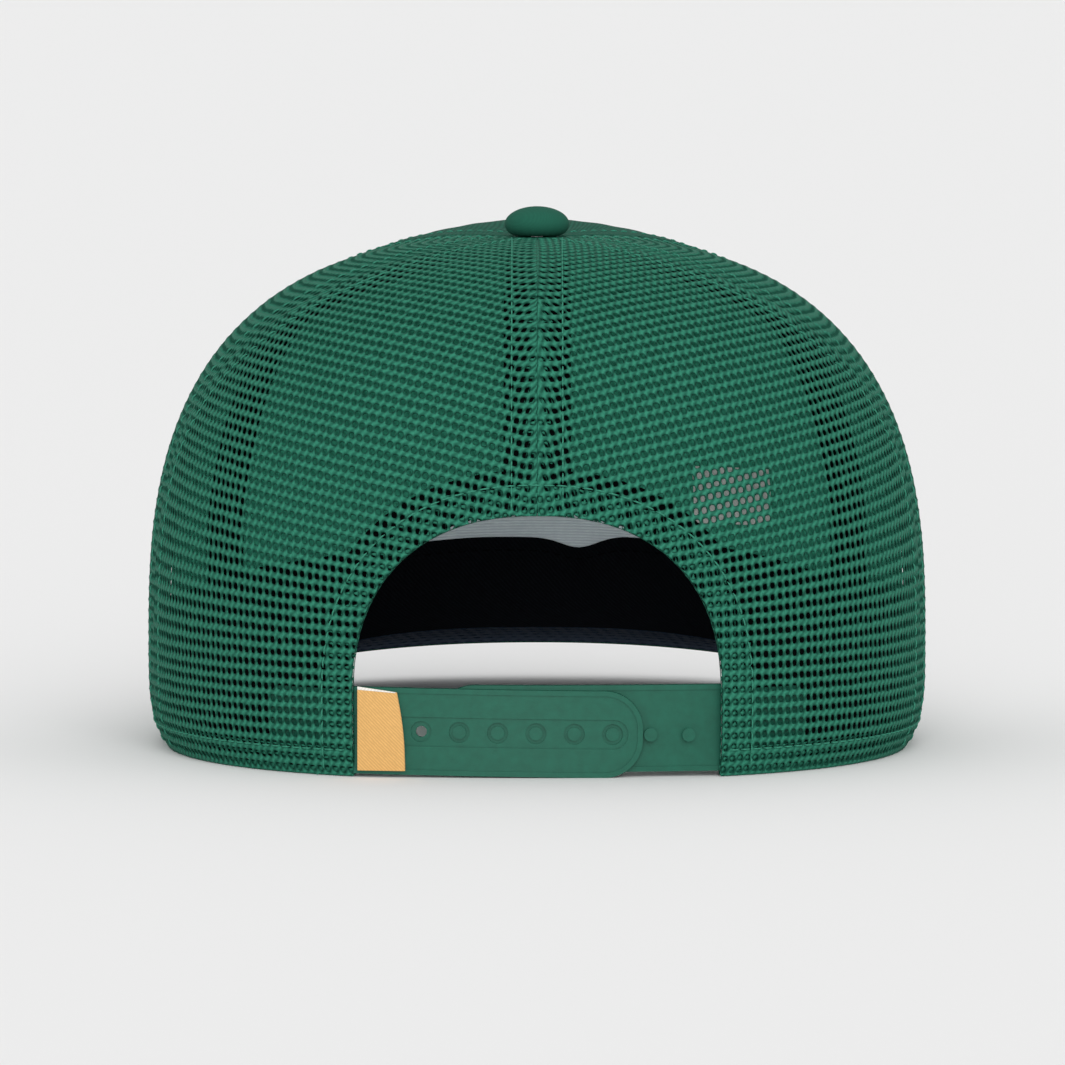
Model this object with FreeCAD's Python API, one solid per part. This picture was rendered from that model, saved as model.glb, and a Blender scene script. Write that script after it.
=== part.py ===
import FreeCAD, Part
import math
import os

from FreeCAD import Vector

# Trucker cap: a padded front panel, four mesh panels behind it, a curved brim, a covered top button,
# a sweatband, and a snap closure across an arched gap at the back.
# Millimetres, +Z up, brim towards -Y, back towards +Y, the wearer's left is +X.
# Everything is drawn about the crown's own axis, then moved so the origin is the middle of the footprint.

# ---- crown ----------------------------------------------------------------------------------------
HALF_WIDTH = 95.3          # at the shoulder
HALF_BACK = 94.1           # crown axis to back
HALF_FRONT = 97.0          # crown axis to front
SHOULDER_Z = 25.0          # the wall is nearly upright below this
DOME = 98.8                # shoulder to the top centre
PLAN_POWER = 2.2           # superellipse power of the crown's outline seen from above
DOME_POWER = 2.7           # superellipse power of the dome, back and sides
FRONT_POWER = 0.4          # added to DOME_POWER at the middle of the front
FRONT_BULGE = 5.4          # extra height of the padded front panel
FRONT_FADE = 80.0          # degrees from the front where the bulge has died out
TUCK_BACK = 1.2            # how far the bottom edge draws in at the back
TUCK_SIDE = 4.6            # and at the sides
FRONT_RISE = 21.0          # height of the bottom edge at the middle of the brim
RISE_FADE = 85.0           # degrees from the front where that rise has died out
RISE_FLAT = 1.3            # keeps the middle of that rise level
TOP_HOLE = 3.0             # radius left open under the button

# ---- panels, by angle from the middle of the back -------------------------------------------------
BACK_SEAM = 75.0
SEAM_LEAN = 33.0           # degrees by which the side seams swing to the back as they near the top
LEAN_RISE = (24.0, 78.0)   # rises between which they swing
FRONT_SEAM = 125.0
SEAM_GAP = 0.08            # degrees left free beside each seam

# ---- layers, each as (outer, inner) depth under the crown's outer skin ----------------------------
MESH = (0.0, 0.8)
FACE_FABRIC = (0.0, 0.4)
SEAM_TAPE = (1.1, 1.5)
STRAP_TAB = (0.95, 2.15)
ARCH_TAPE = (2.25, 2.65)
FOAM_TOP = 0.45
FOAM_PRESSED = 0.2         # foam thickness where it is sewn into a seam
FOAM_FULL = 2.5
FOAM_FLAT = 8.5            # the foam stays pressed this far from a seam
FOAM_RAMP = 18.0           # and swells to full thickness over this
FOAM_CLEAR = 0.1           # to the knit backing
KNIT = 0.25                # knit backing of the foam
BAND_LINING = 0.25         # ribbed lining band low on the inside of the front
PLY_GAP = 0.05             # between plies that lie on each other
SWEATBAND_BACK = 2.75      # depth at the back and sides
SWEATBAND_FRONT = 4.05     # depth inside the padded front
SWEATBAND_BACKING = 0.5
SWEATBAND_FACE = 0.4
SWEATBAND_TOP = 34.0       # height of its top edge at the back and sides
SWEATBAND_FRONT_UP = 8.0   # how much higher it stands at the front
LINING_BAND_UP = 9.0       # the ribbed lining shows this far above the sweatband
LINING_BAND_HALF = 24.0    # degrees either side of the middle of the front

# ---- seam tapes -----------------------------------------------------------------------------------
TAPE_HALF = 8.0
CENTRE_TAPE_END = 9.0      # radius at which the centre-back tape stops under the button
SIDE_TAPE_END = 28.0

# ---- arched gap at the back -----------------------------------------------------------------------
ARCH_HALF = 43.6
ARCH_SPRING_Z = 19.5
ARCH_RISE = 42.4
ARCH_POWER = 2.3
ARCH_TAPE_START = 1.3      # from the gap's outline
ARCH_TAPE_WIDTH = 11.0

# ---- snap closure ---------------------------------------------------------------------------------
STRAP_RADIUS = 255.0       # plan radius of the outer strap's outer face
STRAP_FACE_Y = 87.4        # that face at the middle of the back
STRAP_TALL = 20.4
STRAP_THICK = 1.7
STRAP_SPACE = 0.4          # between the two straps
STRAP_END_ROUND = 9.0
STRAP_ROOT_X = 43.2
HOLE_STRAP_END_X = -24.8
STUD_STRAP_END_X = 23.8
HOLE_STRAP_Z = 10.9        # centre height at its root
STUD_STRAP_Z = 11.3
STRAP_TILT = 0.8           # degrees the hole strap dips towards its free end
RIM_WIDE = 1.2
RIM_HIGH = 0.3
CHANNEL_TALL = 6.9
CHANNEL_DEEP = 0.35
CHANNEL_END_X = -21.4
SNAP_PITCH = 9.0
SNAP_FIRST_X = 36.3
SNAP_HOLES = 7
HOLE_RADIUS = 1.3
COUNTERBORE_RADIUS = 2.45
COUNTERBORE_DEEP = 0.5
STUD_FIRST_X = 18.3
STUDS = 7
STUD_RADIUS = 1.05
STUD_HEAD_RADIUS = 1.58
STUD_HEAD = 0.45
TAB_START = 1.1            # from the gap's outline
TAB_END_X = 64.5
TAB_LOW_Z = 2.5
TAB_HIGH_Z = 20.5

# ---- woven label on the hole strap ----------------------------------------------------------------
LABEL_ROOT_X = 42.2
LABEL_END_X = 31.9
LABEL_TALL = 19.4
LABEL_LOW_Z = 1.3
LABEL_PLY = 0.35
LABEL_FOLD = 0.3           # space between its two plies
LABEL_CLEAR = 0.3          # off the strap's rim

# ---- care label inside the front ------------------------------------------------------------------
CARE_NEAR_X = 42.0
CARE_FAR_X = 72.5
CARE_LOW_Z = 47.5
CARE_HIGH_Z = 62.5
CARE_PLY = 0.2

# ---- brim -----------------------------------------------------------------------------------------
BRIM_HALF_ANGLE = 62.0     # degrees from the front where the brim meets the crown's edge
BRIM_HALF_WIDTH = 89.0
BRIM_LENGTH = 112.0        # brim's widest line to its tip
BRIM_WIDE_Y = -54.0        # the widest line, from the crown axis
BRIM_POWER = 2.4
BRIM_TIP_Z = 11.0
BRIM_SIDE_Z = 1.75
BRIM_CROWN = 2.5           # outward bow of the brim between crown and edge
BRIM_CLEAR = 0.5           # from the crown's skin
BOARD_THICK = 2.2
COVER_THICK = 0.5

# ---- top button -----------------------------------------------------------------------------------
BUTTON_RADIUS = 7.8
BUTTON_TALL = 6.9
BUTTON_FABRIC = 0.5
BUTTON_METAL = 0.6
BUTTON_LIFT = 0.45         # underside above the crown's top centre
RIVET_RADIUS = 1.5
RIVET_FLANGE = 5.0
RIVET_FLANGE_THICK = 0.6
RIVET_REACH = 2.4          # flange's underside below the crown's top centre

POLE_Z = SHOULDER_Z + DOME


# ---- the crown's outer skin -----------------------------------------------------------------------
def fade(angle_from_front, reach):
    """1 at the middle of the front, falling smoothly to 0 at reach degrees."""
    if abs(angle_from_front) >= reach:
        return 0.0
    return math.cos(math.radians(90.0 * angle_from_front / reach)) ** 2


def from_front(angle):
    return 180.0 - abs((angle + 180.0) % 360.0 - 180.0)


def superellipse(angle, a, b, power):
    """Distance from the centre to a superellipse, at an angle from its b axis."""
    s = abs(math.sin(angle)) / a
    c = abs(math.cos(angle)) / b
    return (s ** power + c ** power) ** (-1.0 / power)


def meridian(angle, rise):
    """Relative radius and height of the skin at an angle from the back and a rise in degrees.

    Rise is 0 at the shoulder, 90 at the top centre and negative down the upright wall.
    """
    front = from_front(angle)
    if rise <= 0.0:
        z = SHOULDER_Z + DOME * math.radians(rise)
        side = math.sin(math.radians(angle)) ** 2
        tuck = TUCK_BACK + (TUCK_SIDE - TUCK_BACK) * side
        below = (SHOULDER_Z - z) / SHOULDER_Z
        return 1.0 - tuck * below ** 4 / HALF_WIDTH, z
    power = DOME_POWER + FRONT_POWER * fade(front, FRONT_FADE)
    reach = superellipse(math.radians(rise), 1.0, 1.0, power)
    radius = math.cos(math.radians(rise)) * reach
    lift = FRONT_BULGE * fade(front, FRONT_FADE) * math.sin(math.pi * radius) ** 2
    return radius, SHOULDER_Z + DOME * math.sin(math.radians(rise)) * reach + lift


def crown_skin(angle, rise):
    radius, z = meridian(angle, rise)
    turn = math.radians(angle)
    half_length = HALF_BACK if math.cos(turn) > 0 else HALF_FRONT
    reach = radius * superellipse(turn, HALF_WIDTH, half_length, PLAN_POWER)
    return Vector(reach * math.sin(turn), reach * math.cos(turn), z)


def solve(function, target, low, high):
    """The argument at which a rising function meets the target."""
    for _ in range(50):
        middle = 0.5 * (low + high)
        if function(middle) < target:
            low = middle
        else:
            high = middle
    return 0.5 * (low + high)


def rise_at(angle, z):
    return solve(lambda rise: meridian(angle, rise)[1], z, -20.0, 80.0)


def rise_at_radius(angle, radius):
    return 90.0 - solve(lambda left: meridian(angle, 90.0 - left)[0] * HALF_WIDTH, radius, 0.0, 89.0)


def angle_at(x, z):
    """Angle from the back at which the skin is x from the middle, at height z, for the back."""
    return solve(lambda angle: crown_skin(angle, rise_at(angle, z)).x, x, -89.0, 89.0)


def seam_at(seam, rise):
    """Angle at which a seam runs: upright, but for the side seams, which swing to the back."""
    if abs(seam) != BACK_SEAM:
        return seam
    share = min(1.0, max(0.0, (rise - LEAN_RISE[0]) / (LEAN_RISE[1] - LEAN_RISE[0])))
    return seam - math.copysign(SEAM_LEAN, seam) * share * share * (3.0 - 2.0 * share)


def bottom_z(angle):
    front = from_front(angle) / RISE_FADE
    return FRONT_RISE * fade(front ** RISE_FLAT, 1.0)


# ---- solids from a skin ---------------------------------------------------------------------------
def normal(surface, u, v, du, dv):
    along = surface(u + du, v) - surface(u - du, v)
    up = surface(u, v + dv) - surface(u, v - dv)
    return along.cross(up).normalize()


def layer(surface, us, vs, outer, inner, step=0.05):
    """A closed solid between two depths under a skin, over a grid of us by vs.

    us and vs hold the grid's parameters; vs and the depths may depend on u and v.
    """
    def sheet(depth):
        rows = []
        for u in us:
            row = []
            for v in (vs(u) if callable(vs) else vs):
                d = depth(u, v) if callable(depth) else depth
                row.append(surface(u, v) + normal(surface, u, v, step, step) * d)
            rows.append(row)
        made = Part.BSplineSurface()
        made.interpolate(rows)
        return made

    top, bottom = sheet(outer), sheet(inner)
    faces = [top.toShape(), bottom.toShape()]
    u0, u1, v0, v1 = top.bounds()
    w0, w1, t0, t1 = bottom.bounds()
    for a, b in ((u0, w0), (u1, w1)):
        faces.append(Part.makeRuledSurface(top.uIso(a).toShape(), bottom.uIso(b).toShape()))
    for a, b in ((v0, t0), (v1, t1)):
        faces.append(Part.makeRuledSurface(top.vIso(a).toShape(), bottom.vIso(b).toShape()))
    shell = Part.makeShell(faces)
    shell.sewShape()
    solid = Part.makeSolid(shell)
    if solid.Volume < 0:
        solid.reverse()
    return solid


def spread(low, high, count):
    return [low + (high - low) * i / (count - 1.0) for i in range(count)]


def crown_layer(angles, rises, outer, inner, skin=crown_skin):
    """Depths are measured inwards, against the skin's outward normal."""
    flip = lambda depth: (lambda u, v: -depth(u, v)) if callable(depth) else -depth
    return layer(lambda u, v: skin(-u, v), [-a for a in angles],
                 (lambda u: rises(-u)) if callable(rises) else rises,
                 flip((lambda u, v: outer(-u, v)) if callable(outer) else outer),
                 flip((lambda u, v: inner(-u, v)) if callable(inner) else inner))


# ---- panels ---------------------------------------------------------------------------------------
def panel_rises(count):
    """From the bottom edge to the hole under the button, for any angle."""
    def rises(angle):
        return spread(rise_at(angle, bottom_z(angle)), rise_at_radius(angle, TOP_HOLE), count)
    return rises


def panel(first, last, depths, columns=11):
    """One gore between two seams; its columns share out evenly the width between them."""
    def skin(angle, rise):
        low, high = seam_at(first, rise), seam_at(last, rise)
        return crown_skin(low + (high - low) * (angle - first) / (last - first), rise)
    return crown_layer(spread(first + SEAM_GAP, last - SEAM_GAP, columns), panel_rises(25), *depths, skin)


def arch_point(t, grow=0.0):
    """x and z on the gap's outline, t from 0 at the left foot over the top to 1 at the right foot."""
    leg = 0.12
    if t < leg or t > 1.0 - leg:
        side = 1.0 if t < leg else -1.0
        share = (t if t < leg else 1.0 - t) / leg
        return side * (ARCH_HALF + grow), TAB_LOW_Z - 2.0 + (ARCH_SPRING_Z - TAB_LOW_Z + 2.0) * share
    turn = math.pi * (t - leg) / (1.0 - 2.0 * leg)
    reach = superellipse(turn, ARCH_RISE, ARCH_HALF, ARCH_POWER)
    x, z = math.cos(turn) * reach, math.sin(turn) * reach
    steer = ARCH_POWER - 1.0
    nx = math.copysign(abs(x / ARCH_HALF) ** steer, x) / ARCH_HALF
    nz = abs(z / ARCH_RISE) ** steer / ARCH_RISE
    size = math.hypot(nx, nz)
    return x + grow * nx / size, ARCH_SPRING_Z + z + grow * nz / size


def arch_cutter():
    feet = [Vector(-ARCH_HALF, 0, -9), Vector(ARCH_HALF, 0, -9), Vector(ARCH_HALF, 0, ARCH_SPRING_Z)]
    over = [arch_point(t) for t in spread(0.12, 0.88, 25)]
    curve = Part.BSplineCurve()
    curve.interpolate([Vector(x, 0, z) for x, z in over])
    sides = [Part.makeLine(Vector(-ARCH_HALF, 0, ARCH_SPRING_Z), feet[0]),
             Part.makeLine(feet[0], feet[1]), Part.makeLine(feet[1], feet[2])]
    outline = Part.Wire(sides + [curve.toShape()])
    return Part.Face(outline).extrude(Vector(0, 130, 0))


def arch_tape():
    def skin(t, grow):
        x, z = arch_point(t, grow)
        angle = angle_at(x, z)
        return crown_skin(angle, rise_at(angle, z))
    ts = [0.0, 0.06, 0.12] + spread(0.15, 0.85, 25) + [0.88, 0.94, 1.0]
    return layer(skin, ts, spread(ARCH_TAPE_START, ARCH_TAPE_WIDTH, 4), -ARCH_TAPE[0], -ARCH_TAPE[1], 0.002)


def seam_tape(seam, low_z, end_radius):
    """A strip of even width laid inside along one seam."""
    def skin(across, rise):
        middle = seam_at(seam, rise)
        at = crown_skin(middle, rise)
        ahead, behind = (crown_skin(seam_at(seam, at_rise), at_rise) for at_rise in (rise + 0.5, rise - 0.5))
        around = crown_skin(middle + 0.5, rise) - crown_skin(middle - 0.5, rise)
        sway = (ahead - behind).normalize().dot(around.normalize())
        reach = math.hypot(at.x, at.y) * math.sqrt(1.0 - sway ** 2)
        return crown_skin(middle - math.degrees(math.asin(across / reach)), rise)
    rises = spread(rise_at(seam, low_z), rise_at_radius(seam, end_radius), 23)
    return layer(skin, spread(-TAPE_HALF, TAPE_HALF, 5), rises, -SEAM_TAPE[0], -SEAM_TAPE[1])


# ---- padded front ---------------------------------------------------------------------------------
def foam_depth(angle, rise):
    """Inner depth of the foam: pressed thin along the seams, full in the middle."""
    at = crown_skin(angle, rise)
    to_seam = max(0.0, 180.0 - FRONT_SEAM - from_front(angle))
    off_seam = math.hypot(at.x, at.y) * math.sin(math.radians(to_seam))
    share = min(1.0, max(0.0, (off_seam - FOAM_FLAT) / FOAM_RAMP))
    share = share * share * (3.0 - 2.0 * share)
    return FOAM_TOP + FOAM_PRESSED + (FOAM_FULL - FOAM_PRESSED) * share


def deeper(extra):
    return lambda angle, rise: foam_depth(angle, rise) + extra


def front_panel(outer, inner):
    angles = spread(FRONT_SEAM + SEAM_GAP, 360.0 - FRONT_SEAM - SEAM_GAP, 55)
    return crown_layer(angles, panel_rises(29), outer, inner)


def sweatband_top(angle):
    return SWEATBAND_TOP + SWEATBAND_FRONT_UP * fade(from_front(angle), RISE_FADE)


def lining_band():
    angles = spread(180.0 - LINING_BAND_HALF, 180.0 + LINING_BAND_HALF, 25)
    rises = lambda angle: spread(rise_at(angle, sweatband_top(angle) - 4.0),
                                 rise_at(angle, sweatband_top(angle) + LINING_BAND_UP), 4)
    start = FOAM_CLEAR + PLY_GAP + KNIT
    return crown_layer(angles, rises, deeper(start), deeper(start + BAND_LINING))


def care_label():
    """A blank white label sewn to the lining on the wearer's right."""
    start = FOAM_CLEAR + 2 * PLY_GAP + KNIT + BAND_LINING
    span = [math.degrees(math.atan2(x, HALF_FRONT * 0.92)) for x in (CARE_NEAR_X, CARE_FAR_X)]
    angles = spread(180.0 + span[0], 180.0 + span[1], 5)
    rises = lambda angle: spread(rise_at(angle, CARE_LOW_Z), rise_at(angle, CARE_HIGH_Z), 4)
    return crown_layer(angles, rises, deeper(start), deeper(start + CARE_PLY))


# ---- sweatband ------------------------------------------------------------------------------------
def sweatband(start, thick):
    end = angle_at(ARCH_HALF + 2.0, 10.0)

    def depth(extra):
        def at(angle, rise):
            swell = fade(from_front(angle), FRONT_FADE) ** 0.5
            return SWEATBAND_BACK + (SWEATBAND_FRONT - SWEATBAND_BACK) * min(1.0, 1.6 * swell) + extra
        return at
    rises = lambda angle: spread(rise_at(angle, bottom_z(angle) + 0.5), rise_at(angle, sweatband_top(angle)), 6)
    return crown_layer(spread(end, 360.0 - end, 57), rises, depth(start), depth(start + thick))


# ---- brim -----------------------------------------------------------------------------------------
def brim_skin(u, s):
    """u runs -1 to 1 across the brim, s from 0 at the crown to 1 at the edge."""
    angle = 180.0 - BRIM_HALF_ANGLE * u
    root = crown_skin(angle, rise_at(angle, bottom_z(angle)))
    out = Vector(root.x, root.y, 0).normalize()
    root = root + out * BRIM_CLEAR
    turn = math.pi / 2 * u
    reach = superellipse(turn, BRIM_HALF_WIDTH, BRIM_LENGTH, BRIM_POWER)
    edge = Vector(reach * math.sin(turn), BRIM_WIDE_Y - reach * math.cos(turn), 0)
    edge.z = BRIM_SIDE_Z + (BRIM_TIP_Z - BRIM_SIDE_Z) * math.cos(turn) ** 2
    at = root * (1.0 - s) + edge * s
    at.z += BRIM_CROWN * 4.0 * s * (1.0 - s) * math.cos(turn) ** 0.5 if abs(u) < 1 else 0.0
    return at


def brim_layer(top, bottom):
    return layer(brim_skin, spread(-0.995, 0.995, 33), spread(0.0, 1.0, 9), top, bottom, 0.004)


# ---- snap closure ---------------------------------------------------------------------------------
STRAP_AXIS_Y = STRAP_FACE_Y - STRAP_RADIUS


def curved_slab(outline, face, thick):
    """The part of a thin upright tube wall that lies behind an outline in the XZ plane."""
    prism = Part.Face(outline).extrude(Vector(0, 140, 0))
    ring = Part.makeCylinder(face, 60, Vector(0, STRAP_AXIS_Y, -15))
    ring = ring.cut(Part.makeCylinder(face - thick, 60, Vector(0, STRAP_AXIS_Y, -15)))
    return prism.common(ring)


def strap_outline(root_x, end_x, centre_z, tall, round_end):
    """A bar with a rounded free end, as a closed wire in the XZ plane."""
    side = 1.0 if end_x > root_x else -1.0
    half = tall / 2.0
    corner_x = end_x - side * round_end
    point = lambda x, z: Vector(x, 0, centre_z + z)
    diagonal = round_end * math.sqrt(0.5)
    edges = [Part.makeLine(point(root_x, -half), point(corner_x, -half)),
             Part.Arc(point(corner_x, -half),
                      point(corner_x + side * diagonal, -half + round_end - diagonal),
                      point(end_x, -half + round_end)).toShape()]
    if half > round_end + 0.01:
        edges.append(Part.makeLine(point(end_x, -half + round_end), point(end_x, half - round_end)))
    edges.append(Part.Arc(point(end_x, half - round_end),
                          point(corner_x + side * diagonal, half - round_end + diagonal),
                          point(corner_x, half)).toShape())
    edges.append(Part.makeLine(point(corner_x, half), point(root_x, half)))
    edges.append(Part.makeLine(point(root_x, half), point(root_x, -half)))
    return Part.Wire(edges)


def strap_plate(root_x, end_x, centre_z, face):
    """Strap body with a raised rim along its edges."""
    side = 1.0 if end_x > root_x else -1.0
    body = curved_slab(strap_outline(root_x, end_x, centre_z, STRAP_TALL, STRAP_END_ROUND), face, STRAP_THICK)
    rim = curved_slab(strap_outline(root_x, end_x, centre_z, STRAP_TALL, STRAP_END_ROUND),
                      face + RIM_HIGH, RIM_HIGH)
    inside = strap_outline(root_x - side, end_x - side * RIM_WIDE, centre_z,
                           STRAP_TALL - 2 * RIM_WIDE, STRAP_END_ROUND - RIM_WIDE)
    rim = rim.cut(curved_slab(inside, face + RIM_HIGH + 0.2, RIM_HIGH + 0.4))
    return body.fuse(rim).removeSplitter()


def radial_peg(x, z, radius, low, high):
    """A round peg standing square to the strap at x, between two distances from the strap's axis."""
    turn = math.asin(x / STRAP_RADIUS)
    out = Vector(math.sin(turn), math.cos(turn), 0)
    foot = Vector(0, STRAP_AXIS_Y, z) + out * low
    return Part.makeCylinder(radius, high - low, foot, out)


def tilted(shape):
    """The hole strap's slight dip, about its root."""
    shape.rotate(Vector(STRAP_ROOT_X, STRAP_FACE_Y, HOLE_STRAP_Z), Vector(0, 1, 0), -STRAP_TILT)
    return shape


def hole_strap():
    strap = strap_plate(STRAP_ROOT_X, HOLE_STRAP_END_X, HOLE_STRAP_Z, STRAP_RADIUS)
    channel = strap_outline(STRAP_ROOT_X + 1, CHANNEL_END_X, HOLE_STRAP_Z, CHANNEL_TALL, CHANNEL_TALL / 2)
    floor = STRAP_RADIUS - CHANNEL_DEEP
    strap = strap.cut(curved_slab(channel, STRAP_RADIUS + 2, 2 + CHANNEL_DEEP))
    for i in range(SNAP_HOLES):
        x = SNAP_FIRST_X - i * SNAP_PITCH
        strap = strap.cut(radial_peg(x, HOLE_STRAP_Z, HOLE_RADIUS, STRAP_RADIUS - 3, STRAP_RADIUS + 1))
        strap = strap.cut(radial_peg(x, HOLE_STRAP_Z, COUNTERBORE_RADIUS,
                                     floor - COUNTERBORE_DEEP, STRAP_RADIUS + 1))
    return tilted(strap)


def stud_strap():
    face = STRAP_RADIUS - STRAP_THICK - STRAP_SPACE
    strap = strap_plate(-STRAP_ROOT_X, STUD_STRAP_END_X, STUD_STRAP_Z, face)
    seat = STRAP_RADIUS - CHANNEL_DEEP - COUNTERBORE_DEEP + 0.05
    for i in range(STUDS):
        x = STUD_FIRST_X - i * SNAP_PITCH
        stud = radial_peg(x, HOLE_STRAP_Z, STUD_RADIUS, face - 0.5, seat)
        stud = stud.fuse(radial_peg(x, HOLE_STRAP_Z, STUD_HEAD_RADIUS, seat, seat + STUD_HEAD))
        strap = strap.fuse(tilted(stud))
    return strap.removeSplitter()


def strap_tab(side):
    """The strap's sewn end, hidden between the mesh and the tape."""
    low, high = angle_at(ARCH_HALF + TAB_START, 12.0), angle_at(TAB_END_X, 12.0)
    rises = lambda angle: spread(rise_at(angle, TAB_LOW_Z), rise_at(angle, TAB_HIGH_Z), 4)
    angles = spread(low, high, 5) if side > 0 else spread(-high, -low, 5)
    return crown_layer(angles, rises, *STRAP_TAB)


def woven_label():
    """A tape folded in two; both ends are sewn in at its root."""
    root_y = STRAP_AXIS_Y + math.sqrt(STRAP_RADIUS ** 2 - LABEL_ROOT_X ** 2)
    end_y = STRAP_AXIS_Y + math.sqrt(STRAP_RADIUS ** 2 - LABEL_END_X ** 2)
    lift = RIM_HIGH + LABEL_CLEAR
    total = 2 * LABEL_PLY + LABEL_FOLD
    outer_round = total / 2
    length = math.hypot(LABEL_ROOT_X - LABEL_END_X, end_y - root_y)
    block = Part.makeBox(length - outer_round, total, LABEL_TALL, Vector(outer_round, 0, 0))
    block = block.fuse(Part.makeCylinder(outer_round, LABEL_TALL, Vector(outer_round, outer_round, 0)))
    core = Part.makeBox(length, LABEL_FOLD, LABEL_TALL, Vector(outer_round, LABEL_PLY, 0))
    core = core.fuse(Part.makeCylinder(LABEL_FOLD / 2, LABEL_TALL, Vector(outer_round, outer_round, 0)))
    label = block.cut(core).removeSplitter()
    label.rotate(Vector(0, 0, 0), Vector(0, 0, 1), -math.degrees(math.atan2(end_y - root_y,
                                                                          LABEL_ROOT_X - LABEL_END_X)))
    label.translate(Vector(LABEL_END_X, end_y + lift, LABEL_LOW_Z))
    return label


# ---- top button -----------------------------------------------------------------------------------
def dome(radius, tall, foot_z):
    """Solid half-ellipsoid standing on foot_z."""
    ball = Part.makeSphere(radius, Vector(0, 0, 0), Vector(0, 0, 1), 0, 90, 360)
    squash = FreeCAD.Matrix()
    squash.scale(1, 1, tall / radius)
    squash.move(Vector(0, 0, foot_z))
    return ball.transformGeometry(squash)


def button_parts():
    foot = POLE_Z + BUTTON_LIFT
    under = BUTTON_FABRIC + PLY_GAP
    outer = dome(BUTTON_RADIUS, BUTTON_TALL, foot)
    cover = outer.cut(dome(BUTTON_RADIUS - BUTTON_FABRIC, BUTTON_TALL - BUTTON_FABRIC, foot))
    shell = dome(BUTTON_RADIUS - under, BUTTON_TALL - under, foot)
    shell = shell.cut(dome(BUTTON_RADIUS - under - BUTTON_METAL, BUTTON_TALL - under - BUTTON_METAL, foot))
    flange_z = POLE_Z - RIVET_REACH
    head_z = foot + BUTTON_TALL - under - BUTTON_METAL - 0.4
    rivet = Part.makeCylinder(RIVET_RADIUS, head_z - flange_z, Vector(0, 0, flange_z))
    rivet = rivet.fuse(Part.makeCylinder(RIVET_FLANGE, RIVET_FLANGE_THICK, Vector(0, 0, flange_z)))
    return cover, shell, rivet.removeSplitter()


# ---- the whole cap --------------------------------------------------------------------------------
def build():
    arch = arch_cutter()
    nodes = {}
    nodes["left_back_mesh"] = panel(0.0, BACK_SEAM, MESH, 13).cut(arch)
    nodes["right_back_mesh"] = panel(-BACK_SEAM, 0.0, MESH, 13).cut(arch)
    nodes["left_side_mesh"] = panel(BACK_SEAM, FRONT_SEAM, MESH)
    nodes["right_side_mesh"] = panel(-FRONT_SEAM, -BACK_SEAM, MESH)

    nodes["front_face_fabric"] = front_panel(*FACE_FABRIC)
    nodes["front_foam"] = front_panel(FOAM_TOP, foam_depth)
    nodes["front_backing"] = front_panel(deeper(FOAM_CLEAR), deeper(FOAM_CLEAR + KNIT))
    nodes["front_lining_band"] = lining_band()
    nodes["care_label"] = care_label()

    arch_top = ARCH_SPRING_Z + ARCH_RISE
    nodes["centre_back_seam_tape"] = seam_tape(0.0, arch_top + 1.0, CENTRE_TAPE_END)
    for name, seam in (("left_back", BACK_SEAM), ("right_back", -BACK_SEAM),
                       ("left_front", FRONT_SEAM), ("right_front", -FRONT_SEAM)):
        nodes[name + "_seam_tape"] = seam_tape(seam, bottom_z(seam) + 1.0, SIDE_TAPE_END)
    nodes["arch_tape"] = arch_tape()

    nodes["sweatband_backing"] = sweatband(0.0, SWEATBAND_BACKING)
    nodes["sweatband"] = sweatband(SWEATBAND_BACKING + PLY_GAP, SWEATBAND_FACE)

    half_board = BOARD_THICK / 2
    cover = half_board + PLY_GAP
    nodes["brim_board"] = brim_layer(half_board, -half_board)
    nodes["brim_top_cover"] = brim_layer(cover + COVER_THICK, cover)
    nodes["brim_under_cover"] = brim_layer(-cover, -cover - COVER_THICK)

    nodes["button_cover"], nodes["button_shell"], nodes["button_rivet"] = button_parts()

    nodes["hole_strap"] = hole_strap()
    nodes["stud_strap"] = stud_strap()
    nodes["hole_strap_tab"] = strap_tab(1.0)
    nodes["stud_strap_tab"] = strap_tab(-1.0)
    nodes["woven_label"] = woven_label()
    return nodes


def main():
    nodes = build()
    low = min(shape.optimalBoundingBox().YMin for shape in nodes.values())
    high = max(shape.optimalBoundingBox().YMax for shape in nodes.values())
    foot = min(shape.optimalBoundingBox().ZMin for shape in nodes.values())
    to_origin = Vector(0, -(low + high) / 2, -foot)
    print("moved by", to_origin)
    os.makedirs("parts", exist_ok=True)
    for name, shape in nodes.items():
        shape.translate(to_origin)
        print(name, shape.isValid(), len(shape.Solids), round(shape.Volume, 1))
        shape.exportStep("parts/" + name + ".step")


main()
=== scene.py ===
"""Trucker mesh cap: open knit back and sides, padded front, curved brim, snap closure.

Each section makes one piece, or one group of like pieces, in the order the cap is put together.
Lengths are in metres and angles in degrees. An angle is measured round the crown from the middle of
the back towards the wearer's left, and a rise up its wall, from 0 at the shoulder to 90 at the top.
"""
import math

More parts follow.
